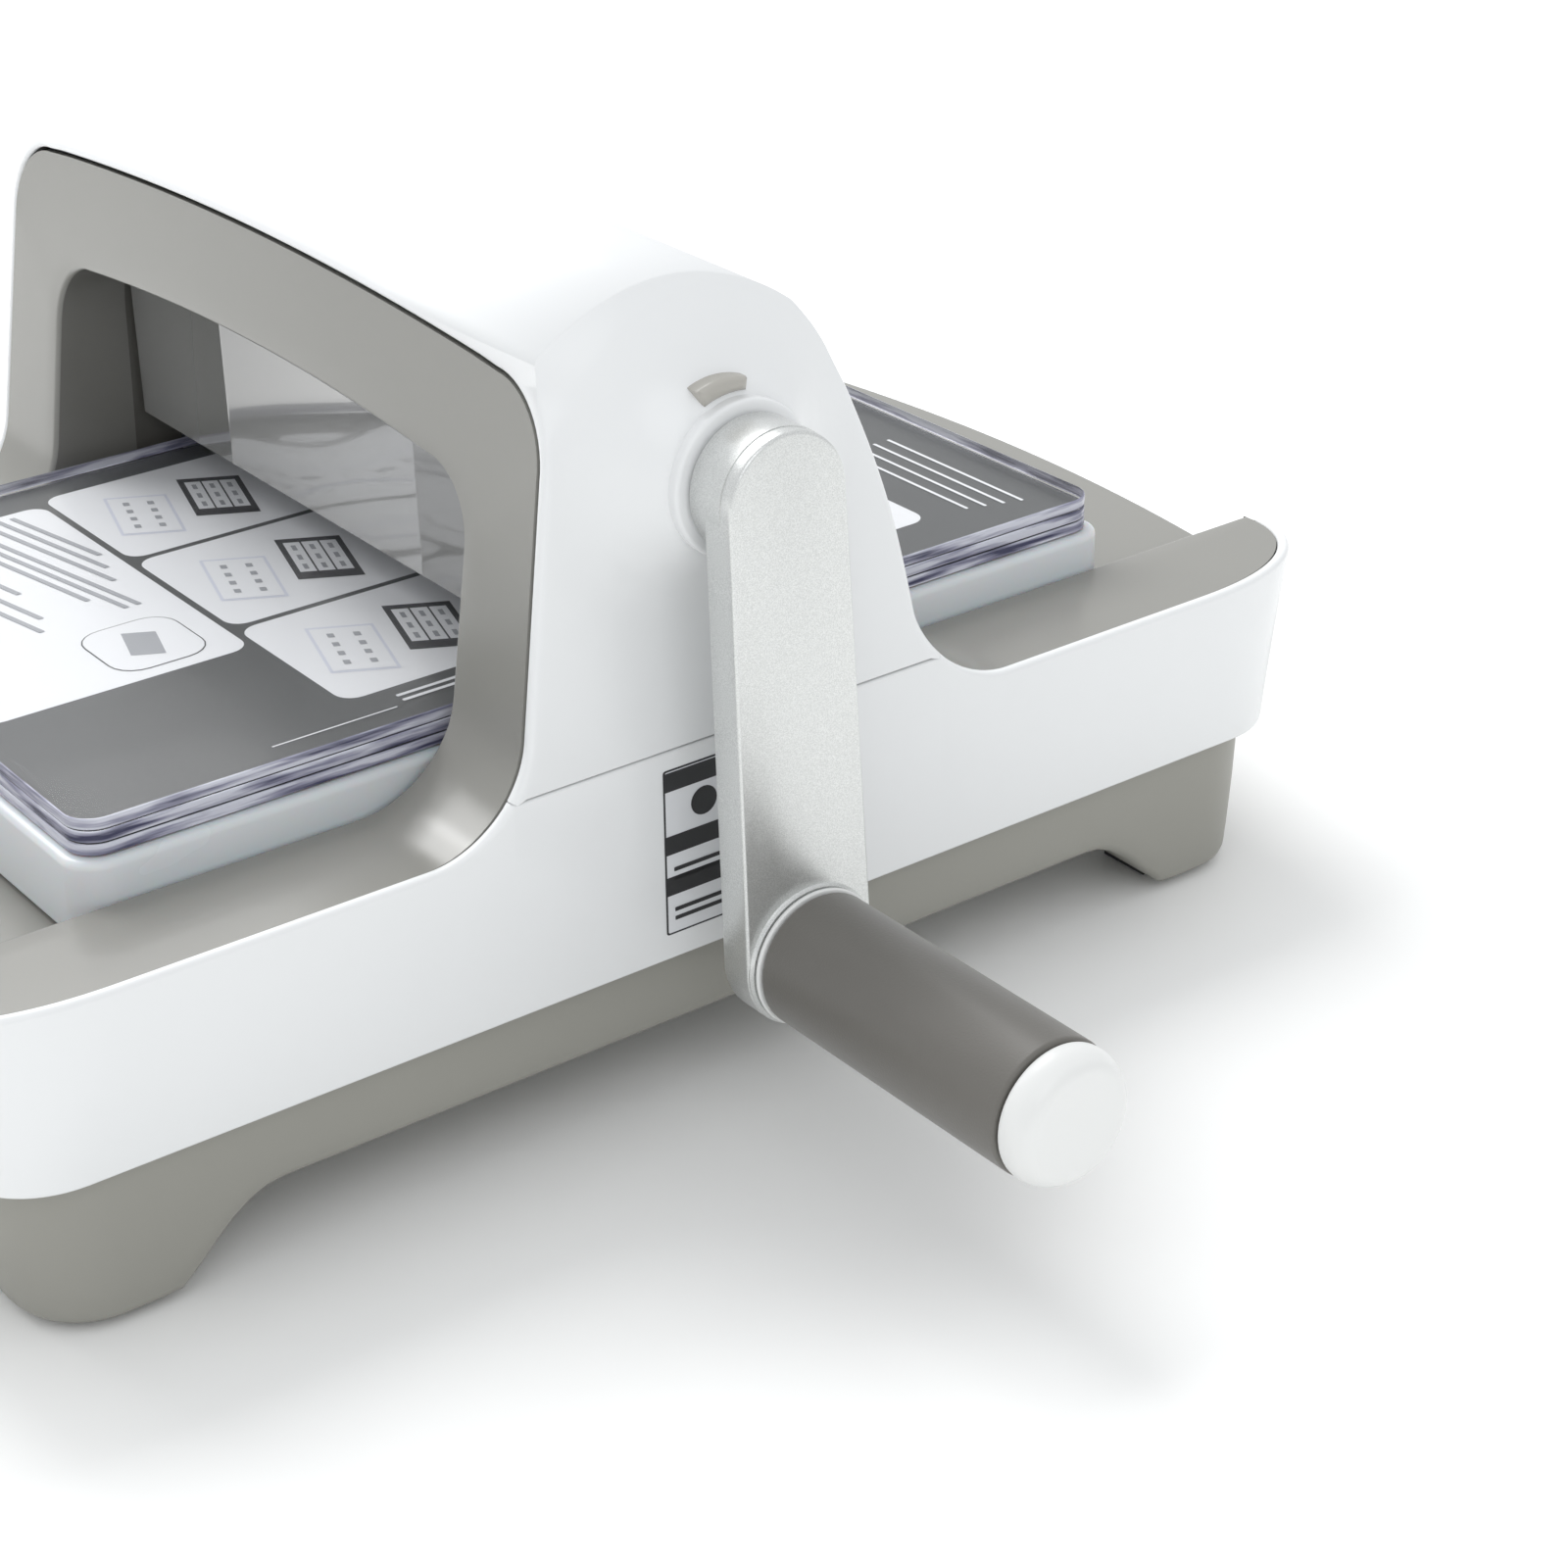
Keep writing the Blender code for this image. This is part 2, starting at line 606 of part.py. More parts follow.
# ---- frame and rollers ----------------------------------------------------------------------
def make_side_plate(name, sign, top_z):
    outline = [(-0.032, 0.022), (0.032, 0.022), (0.032, 0.098), (0.019, top_z - 0.006),
               (0.015, top_z), (-0.015, top_z), (-0.019, top_z - 0.006), (-0.032, 0.098)]
    low, high = sorted((sign * PLATE_X, sign * (PLATE_X + PLATE_T)))
    plate = slab(name, [outline], low, high, look=STEEL, rotation=SIDEWAYS)
    holes = [(UPPER_AXIS_Z, 0, 0.0083), (LOWER_AXIS_Z, 0, 0.0083)]
    if sign > 0:
        holes.append((HUB_Z, 0, 0.0073))
    for y, z in TIE_RODS:
        holes.append((z, y, 0.0023))
    if sign < 0:
        holes += [(z, 0, 0.0023) for z in idler_heights()]
    for number, (z, y, radius) in enumerate(holes):
        bore = disc("%s_bore_%d" % (name, number), radius, sign * PLATE_X - 0.01,
                    sign * PLATE_X + 0.01, 16, location=(0, y, z), rotation=SIDEWAYS)
        cut(plate, bore)
    return plate


def idler_heights():
    step = TRAIN_MODULE * (SYNC_TEETH + IDLER_TEETH) / 2
    return (UPPER_AXIS_Z - step, LOWER_AXIS_Z + step)


def make_tie_rods():
    """Round spacers between the plates, with thinner ends through them."""
    names = ("tie_rod_front", "tie_rod_rear", "tie_rod_top")
    for name, (y, z) in zip(names, TIE_RODS):
        reach = PLATE_X - GAP
        end = PLATE_X + PLATE_T + 0.0012
        turned(name, [(0, end), (0.002, end), (0.002, reach), (0.0038, reach),
                      (0.0038, -reach), (0.002, -reach), (0.002, -end), (0, -end)],
               12, look=STEEL, location=(0, y, z), rotation=SIDEWAYS)


def make_roller(name, left_end, right_end, parent):
    """A steel roller turned in one piece with its two journals."""
    step = 0.0007
    turned(name, [(0, right_end), (JOURNAL_RADIUS, right_end),
                  (JOURNAL_RADIUS, ROLLER_HALF_X), (ROLLER_RADIUS - step, ROLLER_HALF_X),
                  (ROLLER_RADIUS, ROLLER_HALF_X - step), (ROLLER_RADIUS, step - ROLLER_HALF_X),
                  (ROLLER_RADIUS - step, -ROLLER_HALF_X), (JOURNAL_RADIUS, -ROLLER_HALF_X),
                  (JOURNAL_RADIUS, left_end), (0, left_end)],
           32, look=STEEL, rotation=SIDEWAYS, parent=parent)


def make_bush(name, z, sign, bore, barrel):
    """A flanged bearing bush pressed into a side plate from inside."""
    inner = sign * (PLATE_X - 0.0022)
    flange = sign * (PLATE_X - GAP)
    outer = sign * (PLATE_X + PLATE_T + 0.0008)
    profile = [(bore, outer), (barrel, outer), (barrel, flange),
               (barrel + 0.0018, flange), (barrel + 0.0018, inner), (bore, inner)]
    if sign < 0:
        profile = profile[::-1]
    turned(name, profile, 16, look=BRONZE, location=(0, 0, z), rotation=SIDEWAYS)


def gear_outline(teeth, module, phase):
    """Trapezoid teeth about the pitch circle, four points to a tooth."""
    pitch = module * teeth / 2
    tip, root = pitch + 0.85 * module, pitch - 1.15 * module
    step = math.tau / teeth
    points = []
    for tooth in range(teeth):
        middle = tooth * step + phase
        for radius, share in ((root, -0.34), (tip, -0.11), (tip, 0.11), (root, 0.34)):
            angle = middle + share * step
            points.append((radius * math.cos(angle), radius * math.sin(angle)))
    return points


def make_gear(name, teeth, module, sign, bore, phase, parent, look=STEEL):
    low, high = sorted((sign * GEAR_X, sign * (GEAR_X + GEAR_W)))
    hole = arc((0, 0), bore, 0, math.tau * 15 / 16, 15)
    return slab(name, [gear_outline(teeth, module, phase), hole], low, high, look=look,
                rotation=SIDEWAYS, parent=parent)


def make_clip(name, sign, shaft, parent):
    """A retaining ring on the end of a shaft, outside its gear."""
    near = sign * (GEAR_X + GEAR_W + GAP)
    far = near + sign * 0.0008
    low, high = sorted((near, far))
    tube(name, shaft + 0.002, shaft + GAP, low, high, 12, look=STEEL, rotation=SIDEWAYS,
         parent=parent)


def make_drive_train():
    """Rollers, bearings and gears, each moving group under an empty on its own axis."""
    upper = empty("upper_roller_axis", (0, 0, UPPER_AXIS_Z), parent=MACHINE)
    lower = empty("lower_roller_axis", (0, 0, LOWER_AXIS_Z), parent=MACHINE)
    shaft_end = GEAR_X + GEAR_W + 0.0018
    make_roller("upper_roller", -shaft_end, shaft_end, upper)
    make_roller("lower_roller", -shaft_end, PLATE_X + PLATE_T + 0.002, lower)
    for row, z in (("upper", UPPER_AXIS_Z), ("lower", LOWER_AXIS_Z)):
        for side, sign in (("left", -1), ("right", 1)):
            make_bush("%s_bush_%s" % (row, side), z, sign, JOURNAL_RADIUS + GAP, 0.008)
    make_bush("crank_shaft_bush", HUB_Z, 1, SHAFT_RADIUS + GAP, 0.007)

    bore = JOURNAL_RADIUS + GAP
    half_tooth = math.pi / DRIVE_TEETH
    make_gear("roller_drive_gear", DRIVE_TEETH, DRIVE_MODULE, 1, bore,
              math.pi / 2 + half_tooth, upper)
    turn = math.pi / SYNC_TEETH
    make_gear("upper_sync_gear", SYNC_TEETH, TRAIN_MODULE, -1, bore, -math.pi / 2 + turn, upper)
    make_gear("lower_sync_gear", SYNC_TEETH, TRAIN_MODULE, -1, bore, math.pi / 2, lower)
    make_clip("drive_gear_clip", 1, JOURNAL_RADIUS, upper)
    make_clip("upper_sync_clip", -1, JOURNAL_RADIUS, upper)
    make_clip("lower_sync_clip", -1, JOURNAL_RADIUS, lower)

    pin_end = GEAR_X + GEAR_W + 0.001
    for row, z in zip(("upper", "lower"), idler_heights()):
        axis = empty("%s_idler_axis" % row, (0, 0, z), parent=MACHINE)
        make_gear("idler_gear_%s" % row, IDLER_TEETH, TRAIN_MODULE, -1, 0.0028, math.pi / 2,
                  axis, look=GREY)
        turned("idler_pin_%s" % row,
               [(0, -PLATE_X + 0.001), (0.0032, -PLATE_X + 0.001), (0.0032, -PLATE_X + GAP),
                (0.002, -PLATE_X + GAP), (0.002, -pin_end), (0, -pin_end)],
               10, look=STEEL, location=(0, 0, z), rotation=SIDEWAYS)


# ---- crank ----------------------------------------------------------------------------------
def crank_outline():
    """Two unlike circles joined by their outer tangents, hub at the origin."""
    lean = math.asin((FOOT_RADIUS - HUB_RADIUS) / CRANK_LENGTH)
    top = arc((0, 0), HUB_RADIUS, lean, math.pi - lean, 12)
    bottom = arc((0, -CRANK_LENGTH), FOOT_RADIUS, math.pi - lean, math.tau + lean, 14)
    return top + bottom


def make_crank():
    """Arm, shaft and pinion turn together; the grip spins on the arm's spindle."""
    hub = empty("crank_axis", (0, 0, HUB_Z), (CRANK_TILT, 0, 0), MACHINE)
    grip = empty("grip_axis", (0, 0, -CRANK_LENGTH), parent=hub)
    arm = slab("crank_arm", [crank_outline()], ARM_FACE_X - ARM_T, ARM_FACE_X, look=SILVER,
               rotation=SIDEWAYS, parent=hub)
    boss = disc("crank_boss", HUB_RADIUS + 0.0002, BOSS_X, ARM_FACE_X - 0.002, 24,
                rotation=SIDEWAYS, parent=hub)
    lip = disc("crank_lip", 0.0141, ARM_FACE_X - 0.002, ARM_FACE_X + 0.0008, 24,
               rotation=SIDEWAYS, parent=grip)
    join(arm, boss, lip)
    socket = disc("shaft_socket", SHAFT_RADIUS + GAP, BOSS_X - 0.005, 0.1275, 16,
                  rotation=SIDEWAYS, parent=hub)
    seat = disc("spindle_seat", SPINDLE_RADIUS + GAP, 0.1245, 0.14, 16, rotation=SIDEWAYS,
                parent=grip)
    cut(arm, socket, seat)

    disc("crank_shaft", SHAFT_RADIUS, PLATE_X - 0.0035, 0.1272, 16, look=STEEL,
         rotation=SIDEWAYS, parent=hub)
    make_gear("crank_pinion", PINION_TEETH, DRIVE_MODULE, 1, SHAFT_RADIUS + GAP,
              -math.pi / 2 - CRANK_TILT, hub)
    make_clip("pinion_clip", 1, SHAFT_RADIUS, hub)

    disc("grip_spindle", SPINDLE_RADIUS, 0.1248, GRIP_END_X + 0.0035, 16, look=STEEL,
         rotation=SIDEWAYS, parent=grip)
    tube("grip_collar", 0.0139, SPINDLE_RADIUS + GAP, ARM_FACE_X + 0.0008 + GAP,
         GRIP_START_X - GAP, 32, look=WHITE, rotation=SIDEWAYS, parent=grip)
    edge = 0.0006
    turned("grip_sleeve",
           [(SPINDLE_RADIUS + GAP, GRIP_END_X), (GRIP_RADIUS - edge, GRIP_END_X),
            (GRIP_RADIUS, GRIP_END_X - edge), (GRIP_RADIUS, GRIP_START_X + edge),
            (GRIP_RADIUS - edge, GRIP_START_X), (SPINDLE_RADIUS + GAP, GRIP_START_X)],
           32, look=GRIP_GREY, rotation=SIDEWAYS, parent=grip)
    cap_start = GRIP_END_X + GAP
    turned("grip_end_cap",
           [(0, CAP_END_X), (0.0098, CAP_END_X - 0.0004), (0.0121, CAP_END_X - 0.0014),
            (0.0131, CAP_END_X - 0.0034), (0.0133, cap_start), (SPINDLE_RADIUS + GAP, cap_start),
            (SPINDLE_RADIUS + GAP, cap_start + 0.0036), (0, cap_start + 0.0036)],
           32, look=WHITE, rotation=SIDEWAYS, parent=grip)


def crescent(grow):
    """The release button's outline around the hub, thinner towards the rear."""
    inner = BUTTON_IN - grow
    start, end = BUTTON_FROM - grow / BUTTON_IN, BUTTON_TO + grow / BUTTON_IN
    inside = arc((0, 0), inner, start, end, 7)
    outside = []
    for step in range(8):
        share = step / 7
        angle = end + (start - end) * share
        radius = BUTTON_OUT + grow - 0.0010 * share ** 2
        outside.append((radius * math.cos(angle), radius * math.sin(angle)))
    return inside + outside


def make_collar_and_button():
    """The fixed collar on the cover, the latch button beside it and its spring."""
    slot = slab("button_slot", [crescent(0.0004)], 0.095, 0.125, rotation=SIDEWAYS,
                location=(0, 0, HUB_Z))
    neck = disc("collar_hole", 0.0085, 0.09, 0.12, 24, rotation=SIDEWAYS,
                location=(0, 0, HUB_Z))
    bore = SHAFT_RADIUS + GAP
    collar = turned("crank_collar",
                    [(bore, COLLAR_X), (COLLAR_RADIUS - 0.0004, COLLAR_X),
                     (COLLAR_RADIUS, COLLAR_X - 0.0004), (COLLAR_RADIUS, DISH_X + GAP),
                     (0.0081, DISH_X + GAP), (0.0081, 0.1000), (bore, 0.1000)],
                    32, look=WHITE, rotation=SIDEWAYS, location=(0, 0, HUB_Z))
    cut(collar, slot)
    dish = turned("cover_dish",
                  [(0, DISH_X), (0.0154, DISH_X), (0.0180, DISH_X - 0.0005),
                   (0.0215, DISH_X - 0.0021), (0.0250, DISH_X - 0.0046),
                   (0.0275, DISH_X - 0.0066), (0.0275, DISH_BACK_X), (0, DISH_BACK_X)],
                  28, rotation=SIDEWAYS, location=(0, 0, HUB_Z))
    make_top_cover(dish, [neck, slot])

    place_at = dict(rotation=SIDEWAYS, location=(0, 0, HUB_Z))
    back_x = DISH_BACK_X - 0.0006
    button = slab("release_button", [crescent(0)], back_x - 0.0016, BUTTON_X, look=GREY,
                  **place_at)
    flange = slab("button_flange", [crescent(0.0007)], back_x - 0.0022, back_x, **place_at)
    join(button, flange)
    angle = (BUTTON_FROM + BUTTON_TO) / 2
    radius = (BUTTON_IN + BUTTON_OUT) / 2
    centre = (0, radius * math.cos(angle), HUB_Z + radius * math.sin(angle))
    make_spring("latch_spring", centre, 0.0933, back_x - 0.0025)
    block("spring_bracket", (PLATE_X + PLATE_T + GAP, centre[1] - 0.004, HUB_Z + 0.0125),
          (0.0930, centre[1] + 0.004, HUB_Z + 0.0220), look=STEEL)


def make_spring(name, centre, start_x, end_x):
    """A small compression coil behind the button, wound along X."""
    turns, per_turn, wire, radius = 3, 8, 0.0003, 0.0015
    curve = bpy.data.curves.new(name, "CURVE")
    curve.dimensions = "3D"
    curve.bevel_depth = wire
    curve.bevel_resolution = 1
    curve.use_fill_caps = True
    spline = curve.splines.new("POLY")
    count = turns * per_turn + 1
    spline.points.add(count - 1)
    first, last = start_x + wire, end_x - wire
    for i, point in enumerate(spline.points):
        share = i / (count - 1)
        angle = math.tau * turns * share
        point.co = (first + (last - first) * share, centre[1] + radius * math.cos(angle),
                    centre[2] + radius * math.sin(angle), 1)
    return place(bpy.data.objects.new(name, curve), STEEL)


# ---- platform stack --------------------------------------------------------------------------
def make_stack():
    """The thick base plate and the sheets on it slide through the nip together."""
    stack = empty("stack_frame", (0, PAD_MID_Y, FLOOR_Z + GAP), parent=MACHINE)
    edge = BASE_PLATE_EDGE
    slab("platform_base", [rounded_rectangle(PAD_X + edge, PAD_HALF_Y + edge, 0.007)],
         0, BASE_PLATE_H, look=FROSTED, parent=stack)
    sheet = [rounded_rectangle(PAD_X, PAD_HALF_Y, 0.006)]
    level = BASE_PLATE_H + GAP
    for name, look in (("printed_adapter", PRINT), ("cutting_pad_lower", CLEAR),
                       ("cutting_pad_upper", CLEAR)):
        slab(name, sheet, level, level + SHEET_H, look=look, parent=stack)
        level += SHEET_H + GAP


make_base_pan()
make_feet_and_screws()
make_lower_housing()
make_deck("front_deck", -1)
make_deck("rear_deck", 1)
make_shield("front_shield", -1)
make_shield("rear_shield", 1)
make_side_plate("side_plate_left", -1, 0.1430)
make_side_plate("side_plate_right", 1, 0.1470)
make_tie_rods()
make_drive_train()
make_crank()
make_collar_and_button()
make_stack()
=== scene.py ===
"""Looks for the die cutting machine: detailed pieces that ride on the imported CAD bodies.

Frame: X along the rollers with the crank at +X, Y the feed direction, Z up, in metres.
Shapes are written from the middle of the housing and shifted by MACHINE_X, as in the CAD.
"""

import math

import bpy
from mathutils import Matrix, Vector


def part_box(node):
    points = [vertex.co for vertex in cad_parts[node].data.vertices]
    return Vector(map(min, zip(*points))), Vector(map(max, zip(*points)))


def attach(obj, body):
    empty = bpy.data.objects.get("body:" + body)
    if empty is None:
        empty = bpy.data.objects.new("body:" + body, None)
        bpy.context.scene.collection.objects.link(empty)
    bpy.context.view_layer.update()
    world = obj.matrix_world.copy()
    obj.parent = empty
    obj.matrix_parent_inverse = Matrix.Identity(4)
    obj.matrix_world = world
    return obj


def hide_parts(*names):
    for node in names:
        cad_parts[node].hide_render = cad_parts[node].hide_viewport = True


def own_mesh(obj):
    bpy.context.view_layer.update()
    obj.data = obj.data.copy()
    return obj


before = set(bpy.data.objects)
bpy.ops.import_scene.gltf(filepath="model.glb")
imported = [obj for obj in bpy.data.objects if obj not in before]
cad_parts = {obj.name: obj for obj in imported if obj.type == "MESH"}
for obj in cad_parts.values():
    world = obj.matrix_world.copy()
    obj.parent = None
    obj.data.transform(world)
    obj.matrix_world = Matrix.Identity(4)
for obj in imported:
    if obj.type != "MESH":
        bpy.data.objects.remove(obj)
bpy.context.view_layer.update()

# ---- dimensions shared with the CAD -----------------------------------------------------
MACHINE_X = -0.0487
GAP = 0.0003
SIDE_X = 0.1088
LOWER_DRAFT = 0.02
COVER_LEAN = 0.04
SEAM_Z = 0.0778
RIM_Z = 0.0693
BODY_LOW_Z = 0.0327
ARM_TIP_Y = 0.1653
LOW_END_Y = 0.1550
ARM_START_Y = 0.124
LOW_START_Y = 0.134
END_BULGE = 0.0071
FRONT_Y = 0.0326
FRONT_LEAN = 0.158
REAR_Y = 0.0272
REAR_LEAN = 0.316
ARCH_REF_Z = 0.150
ARCH_FLARE_Z = 0.088
FLARE_RADIUS = 0.0185
COVER_TOP_Z = 0.157
COVER_CROWN = 0.45
COVER_RIDGE = 0.0110
COVER_CORNER = 0.018
CHANNEL_X = 0.0802
FLOOR_Z = 0.0595
OPENING_X = 0.0823
OPENING_TOP_Z = 0.1330
OPENING_CORNER = 0.014
PAD_X = 0.0778
PAD_HALF_Y = 0.1185
PAD_MID_Y = 0.0023
HUB_Z = 0.1308
DISH_X = 0.1116
CRANK_LENGTH = 0.0922
CRANK_TILT = math.radians(1.9)
HUB_RADIUS = 0.0128
FOOT_RADIUS = 0.0146
ARM_FACE_X = 0.1305
ARM_T = 0.008
BOSS_X = 0.1183
COLLAR_X = 0.1175
COLLAR_RADIUS = 0.0150
GRIP_START_X = 0.1328
GRIP_END_X = 0.1988
GRIP_RADIUS = 0.0135
CAP_END_X = 0.2062
BUTTON_IN = 0.0157
BUTTON_OUT = 0.0192
BUTTON_FROM = math.radians(80)
BUTTON_TO = math.radians(114)
BUTTON_X = 0.1155
BASE_UNDER_Z = 0.0164
SHIELD_LOW_Z = 0.0910
SHIELD_HIGH_Z = 0.1400

# ---- dimensions that only this script has ---------------------------------------------
TRIM = 0.0013           # half thickness of the rounded white edges
FIT = 0.0001            # the thin joint between white and grey plastic
REAR_BOW = 0.0023       # how far the arch's rear face bows out halfway up
REAR_TURN_Z = 0.145     # above this height it rounds in ...
REAR_ROUNDING = 22.0    # ... by this much, in metres per square metre
SOFT_CORNER = 0.87      # power below 1 that makes the arms' round ends squarer
OPENING_CROWN = 0.0032  # drop of the opening's top edge from its middle to its corners
ROLLER_GAP_Y = 0.0125   # where the trays end, in front of the rollers
SHELF_END_Y = 0.066     # where the straight shelves meet the arch's flare
WALL_END_Y = 0.064      # the same on the channel floor
SHIELD_NEAR_Y = 0.0190  # back and front face of the guards
SHIELD_FAR_Y = 0.0214
SHIELD_LINE_X = 0.0385  # the moulded lines on their faces
BOSS_PROFILE = ((0.0150, 0.1153), (0.0158, 0.1147), (0.0180, 0.1127), (0.0205, 0.1106),
                (0.0240, 0.1086), (0.0280, 0.1069), (0.0330, 0.1045), (0.0400, 0.1000),
                (0.0600, 0.0850))   # (distance from the hub, how far out the cover stands)
PICTURE_ALONG = (0.960, -0.280)   # the skewed axes of the printed pictures
PICTURE_ACROSS = (0.479, 0.878)
TEXT_SLOPE = 0.19
BASE_TOP = (0.1052, 0.1504, 0.020)   # half width, half length, corner radius at its top
BASE_TOE = (0.1047, 0.1450, 0.015)   # the same at the legs' toes
BASE_TOP_Z = 0.0420
LEG_GAP_Y = 0.1195      # the legs stand outside this along Y ...
LEG_GAP_X = 0.0800      # ... and outside this along X
LEG_RUN_Y = 0.0225      # how far the legs' curves run along Y and X
LEG_RUN_X = 0.0060
LEG_TOE_Z = 0.0014      # lowest point of the legs, above the rubber pads
LEG_ROUNDING = 0.0022   # height of the rounded lower edge
ARM_EDGE = 0.0007       # radius of the crank arm's outer edge
LIP = 0.0010            # radius of the lip round the openings and the channel
DECK_Z = RIM_Z - 0.0006  # top of the grey trays


# ---- node materials -----------------------------------------------------------------------
def new_look(name, colour, roughness, **sockets):
    """A Principled material; keyword names are socket names with underscores."""
    made = bpy.data.materials.new(name)
    made.use_nodes = True
    shader = made.node_tree.nodes["Principled BSDF"]
    shader.inputs["Base Color"].default_value = (*colour, 1)
    shader.inputs["Roughness"].default_value = roughness
    for socket, value in sockets.items():
        shader.inputs[socket.replace("_", " ")].default_value = value
    return made, made.node_tree, shader


def object_noise(tree, scale, detail=3.0, stretch=(1, 1, 1)):
    """Noise in object space, so that it stays with the piece."""
    place = tree.nodes.new("ShaderNodeTexCoord")
    mapping = tree.nodes.new("ShaderNodeMapping")
    mapping.inputs["Scale"].default_value = stretch
    noise = tree.nodes.new("ShaderNodeTexNoise")
    noise.inputs["Scale"].default_value = scale
    noise.inputs["Detail"].default_value = detail
    tree.links.new(place.outputs["Object"], mapping.inputs["Vector"])
    tree.links.new(mapping.outputs["Vector"], noise.inputs["Vector"])
    return noise.outputs["Fac"]


def ramp(tree, source, stops):
    """A colour ramp from (position, colour) stops."""
    node = tree.nodes.new("ShaderNodeValToRGB")
    elements = node.color_ramp.elements
    while len(elements) < len(stops):
        elements.new(0.5)
    for element, (position, colour) in zip(elements, stops):
        element.position = position
        element.color = (*colour, 1)
    tree.links.new(source, node.inputs["Fac"])
    return node.outputs["Color"]


def shade_range(tree, source, low, high):
    """A grey ramp between two values, for roughness."""
    return ramp(tree, source, [(0.3, (low,) * 3), (0.7, (high,) * 3)])


def add_bump(tree, shader, source, strength, distance):
    bump = tree.nodes.new("ShaderNodeBump")
    bump.inputs["Strength"].default_value = strength
    bump.inputs["Distance"].default_value = distance
    tree.links.new(source, bump.inputs["Height"])
    tree.links.new(bump.outputs["Normal"], shader.inputs["Normal"])


def plastic(name, colour, roughness, spread, grain=900.0, relief=0.04, drift=0.03, **sockets):
    """Moulded plastic: faint colour drift, uneven gloss and a very fine surface grain."""
    made, tree, shader = new_look(name, colour, roughness, **sockets)
    cloud = object_noise(tree, 9.0, 2.0)
    low = tuple(c * (1 - drift) for c in colour)
    high = tuple(min(c * (1 + drift), 1.0) for c in colour)
    tree.links.new(ramp(tree, cloud, [(0.3, low), (0.7, high)]), shader.inputs["Base Color"])
    fine = object_noise(tree, grain, 2.0)
    gloss = shade_range(tree, object_noise(tree, 25.0), roughness - spread, roughness + spread)
    tree.links.new(gloss, shader.inputs["Roughness"])
    add_bump(tree, shader, fine, relief, 0.0002)
    return made


def satin_silver():
    """Silver paint with a fine metallic sparkle."""
    made, tree, shader = new_look("satin_silver_paint", (0.70, 0.71, 0.71), 0.31, Metallic=0.8)
    flakes = object_noise(tree, 5200.0, 1.0)
    tone = ramp(tree, flakes, [(0.34, (0.60, 0.61, 0.60)), (0.52, (0.69, 0.70, 0.69)),
                               (0.72, (0.79, 0.80, 0.79))])
    tree.links.new(tone, shader.inputs["Base Color"])
    gloss = shade_range(tree, object_noise(tree, 900.0), 0.29, 0.36)
    tree.links.new(gloss, shader.inputs["Roughness"])
    add_bump(tree, shader, object_noise(tree, 3000.0), 0.08, 0.0002)
    return made


def machined_metal(name, colour, roughness):
    """Turned or ground metal with streaks across X."""
    made, tree, shader = new_look(name, colour, roughness, Metallic=1.0)
    streaks = object_noise(tree, 500.0, 3.0, stretch=(6, 0.4, 0.4))
    low = tuple(c * 0.85 for c in colour)
    tree.links.new(ramp(tree, streaks, [(0.3, low), (0.7, colour)]), shader.inputs["Base Color"])
    gloss = shade_range(tree, streaks, roughness - 0.06, roughness + 0.08)
    tree.links.new(gloss, shader.inputs["Roughness"])
    return made


def clear_sheet(name, tint, alpha):
    """Clear plastic with faintly uneven gloss."""
    made, tree, shader = new_look(name, tint, 0.06, Alpha=alpha, IOR=1.49)
    haze = object_noise(tree, 40.0, 4.0)
    tree.links.new(shade_range(tree, haze, 0.03, 0.10), shader.inputs["Roughness"])
    return made


def clear_edge():
    """Polished edge of the clear pads: violet tint, with long dark and pale streaks painted in as
    the light refracted inside it.
    """
    made, tree, shader = new_look("clear_pad_edge", (0.6, 0.6, 0.7), 0.12, Alpha=0.85)
    # Painted reflection: dark navy and pale bands in the colour stand in for the light inside the
    # polished edge.
    painted_light_streaks = object_noise(tree, 45.0, 3.0, stretch=(1, 1, 14))
    tone = ramp(tree, painted_light_streaks, [(0.36, (0.07, 0.07, 0.13)), (0.48, (0.34, 0.34, 0.45)),
                               (0.60, (0.70, 0.71, 0.80))])
    tree.links.new(tone, shader.inputs["Base Color"])
    return made


WHITE = plastic("white_gloss", (0.80, 0.81, 0.815), 0.24, 0.015, relief=0.02, drift=0.008)
WHITE_SATIN = plastic("white_satin", (0.78, 0.785, 0.775), 0.34, 0.015, relief=0.04, drift=0.008)
GREY = plastic("warm_grey_gloss", (0.245, 0.242, 0.222), 0.25, 0.015, relief=0.02,
               Coat_Weight=0.15, Coat_Roughness=0.20)
# Painted shade: two darker copies of the tray's grey for the tunnel's walls, the deepest strip
# darkest.
CHEEK_SHADE_GREY = plastic("cheek_painted_shade_grey", (0.150, 0.147, 0.134), 0.26, 0.015, relief=0.02)
TUNNEL_SHADE_GREY = plastic("tunnel_painted_shade_grey", (0.085, 0.082, 0.073), 0.24, 0.015, relief=0.02)
BASE_GREY = plastic("base_grey_satin", (0.285, 0.280, 0.250), 0.42, 0.02, relief=0.08)
BUTTON_GREY = plastic("button_grey", (0.42, 0.405, 0.37), 0.22, 0.015, relief=0.02)
SHIELD = plastic("smoky_gloss", (0.200, 0.200, 0.192), 0.12, 0.01, relief=0.0, IOR=1.9,
                 Coat_Weight=1.0, Coat_Roughness=0.03)
GRIP = plastic("soft_touch_grip", (0.135, 0.128, 0.115), 0.42, 0.03, grain=2200.0, relief=0.2,
               Sheen_Weight=0.15)
RUBBER = plastic("foot_rubber", (0.03, 0.03, 0.03), 0.8, 0.05, relief=0.3)
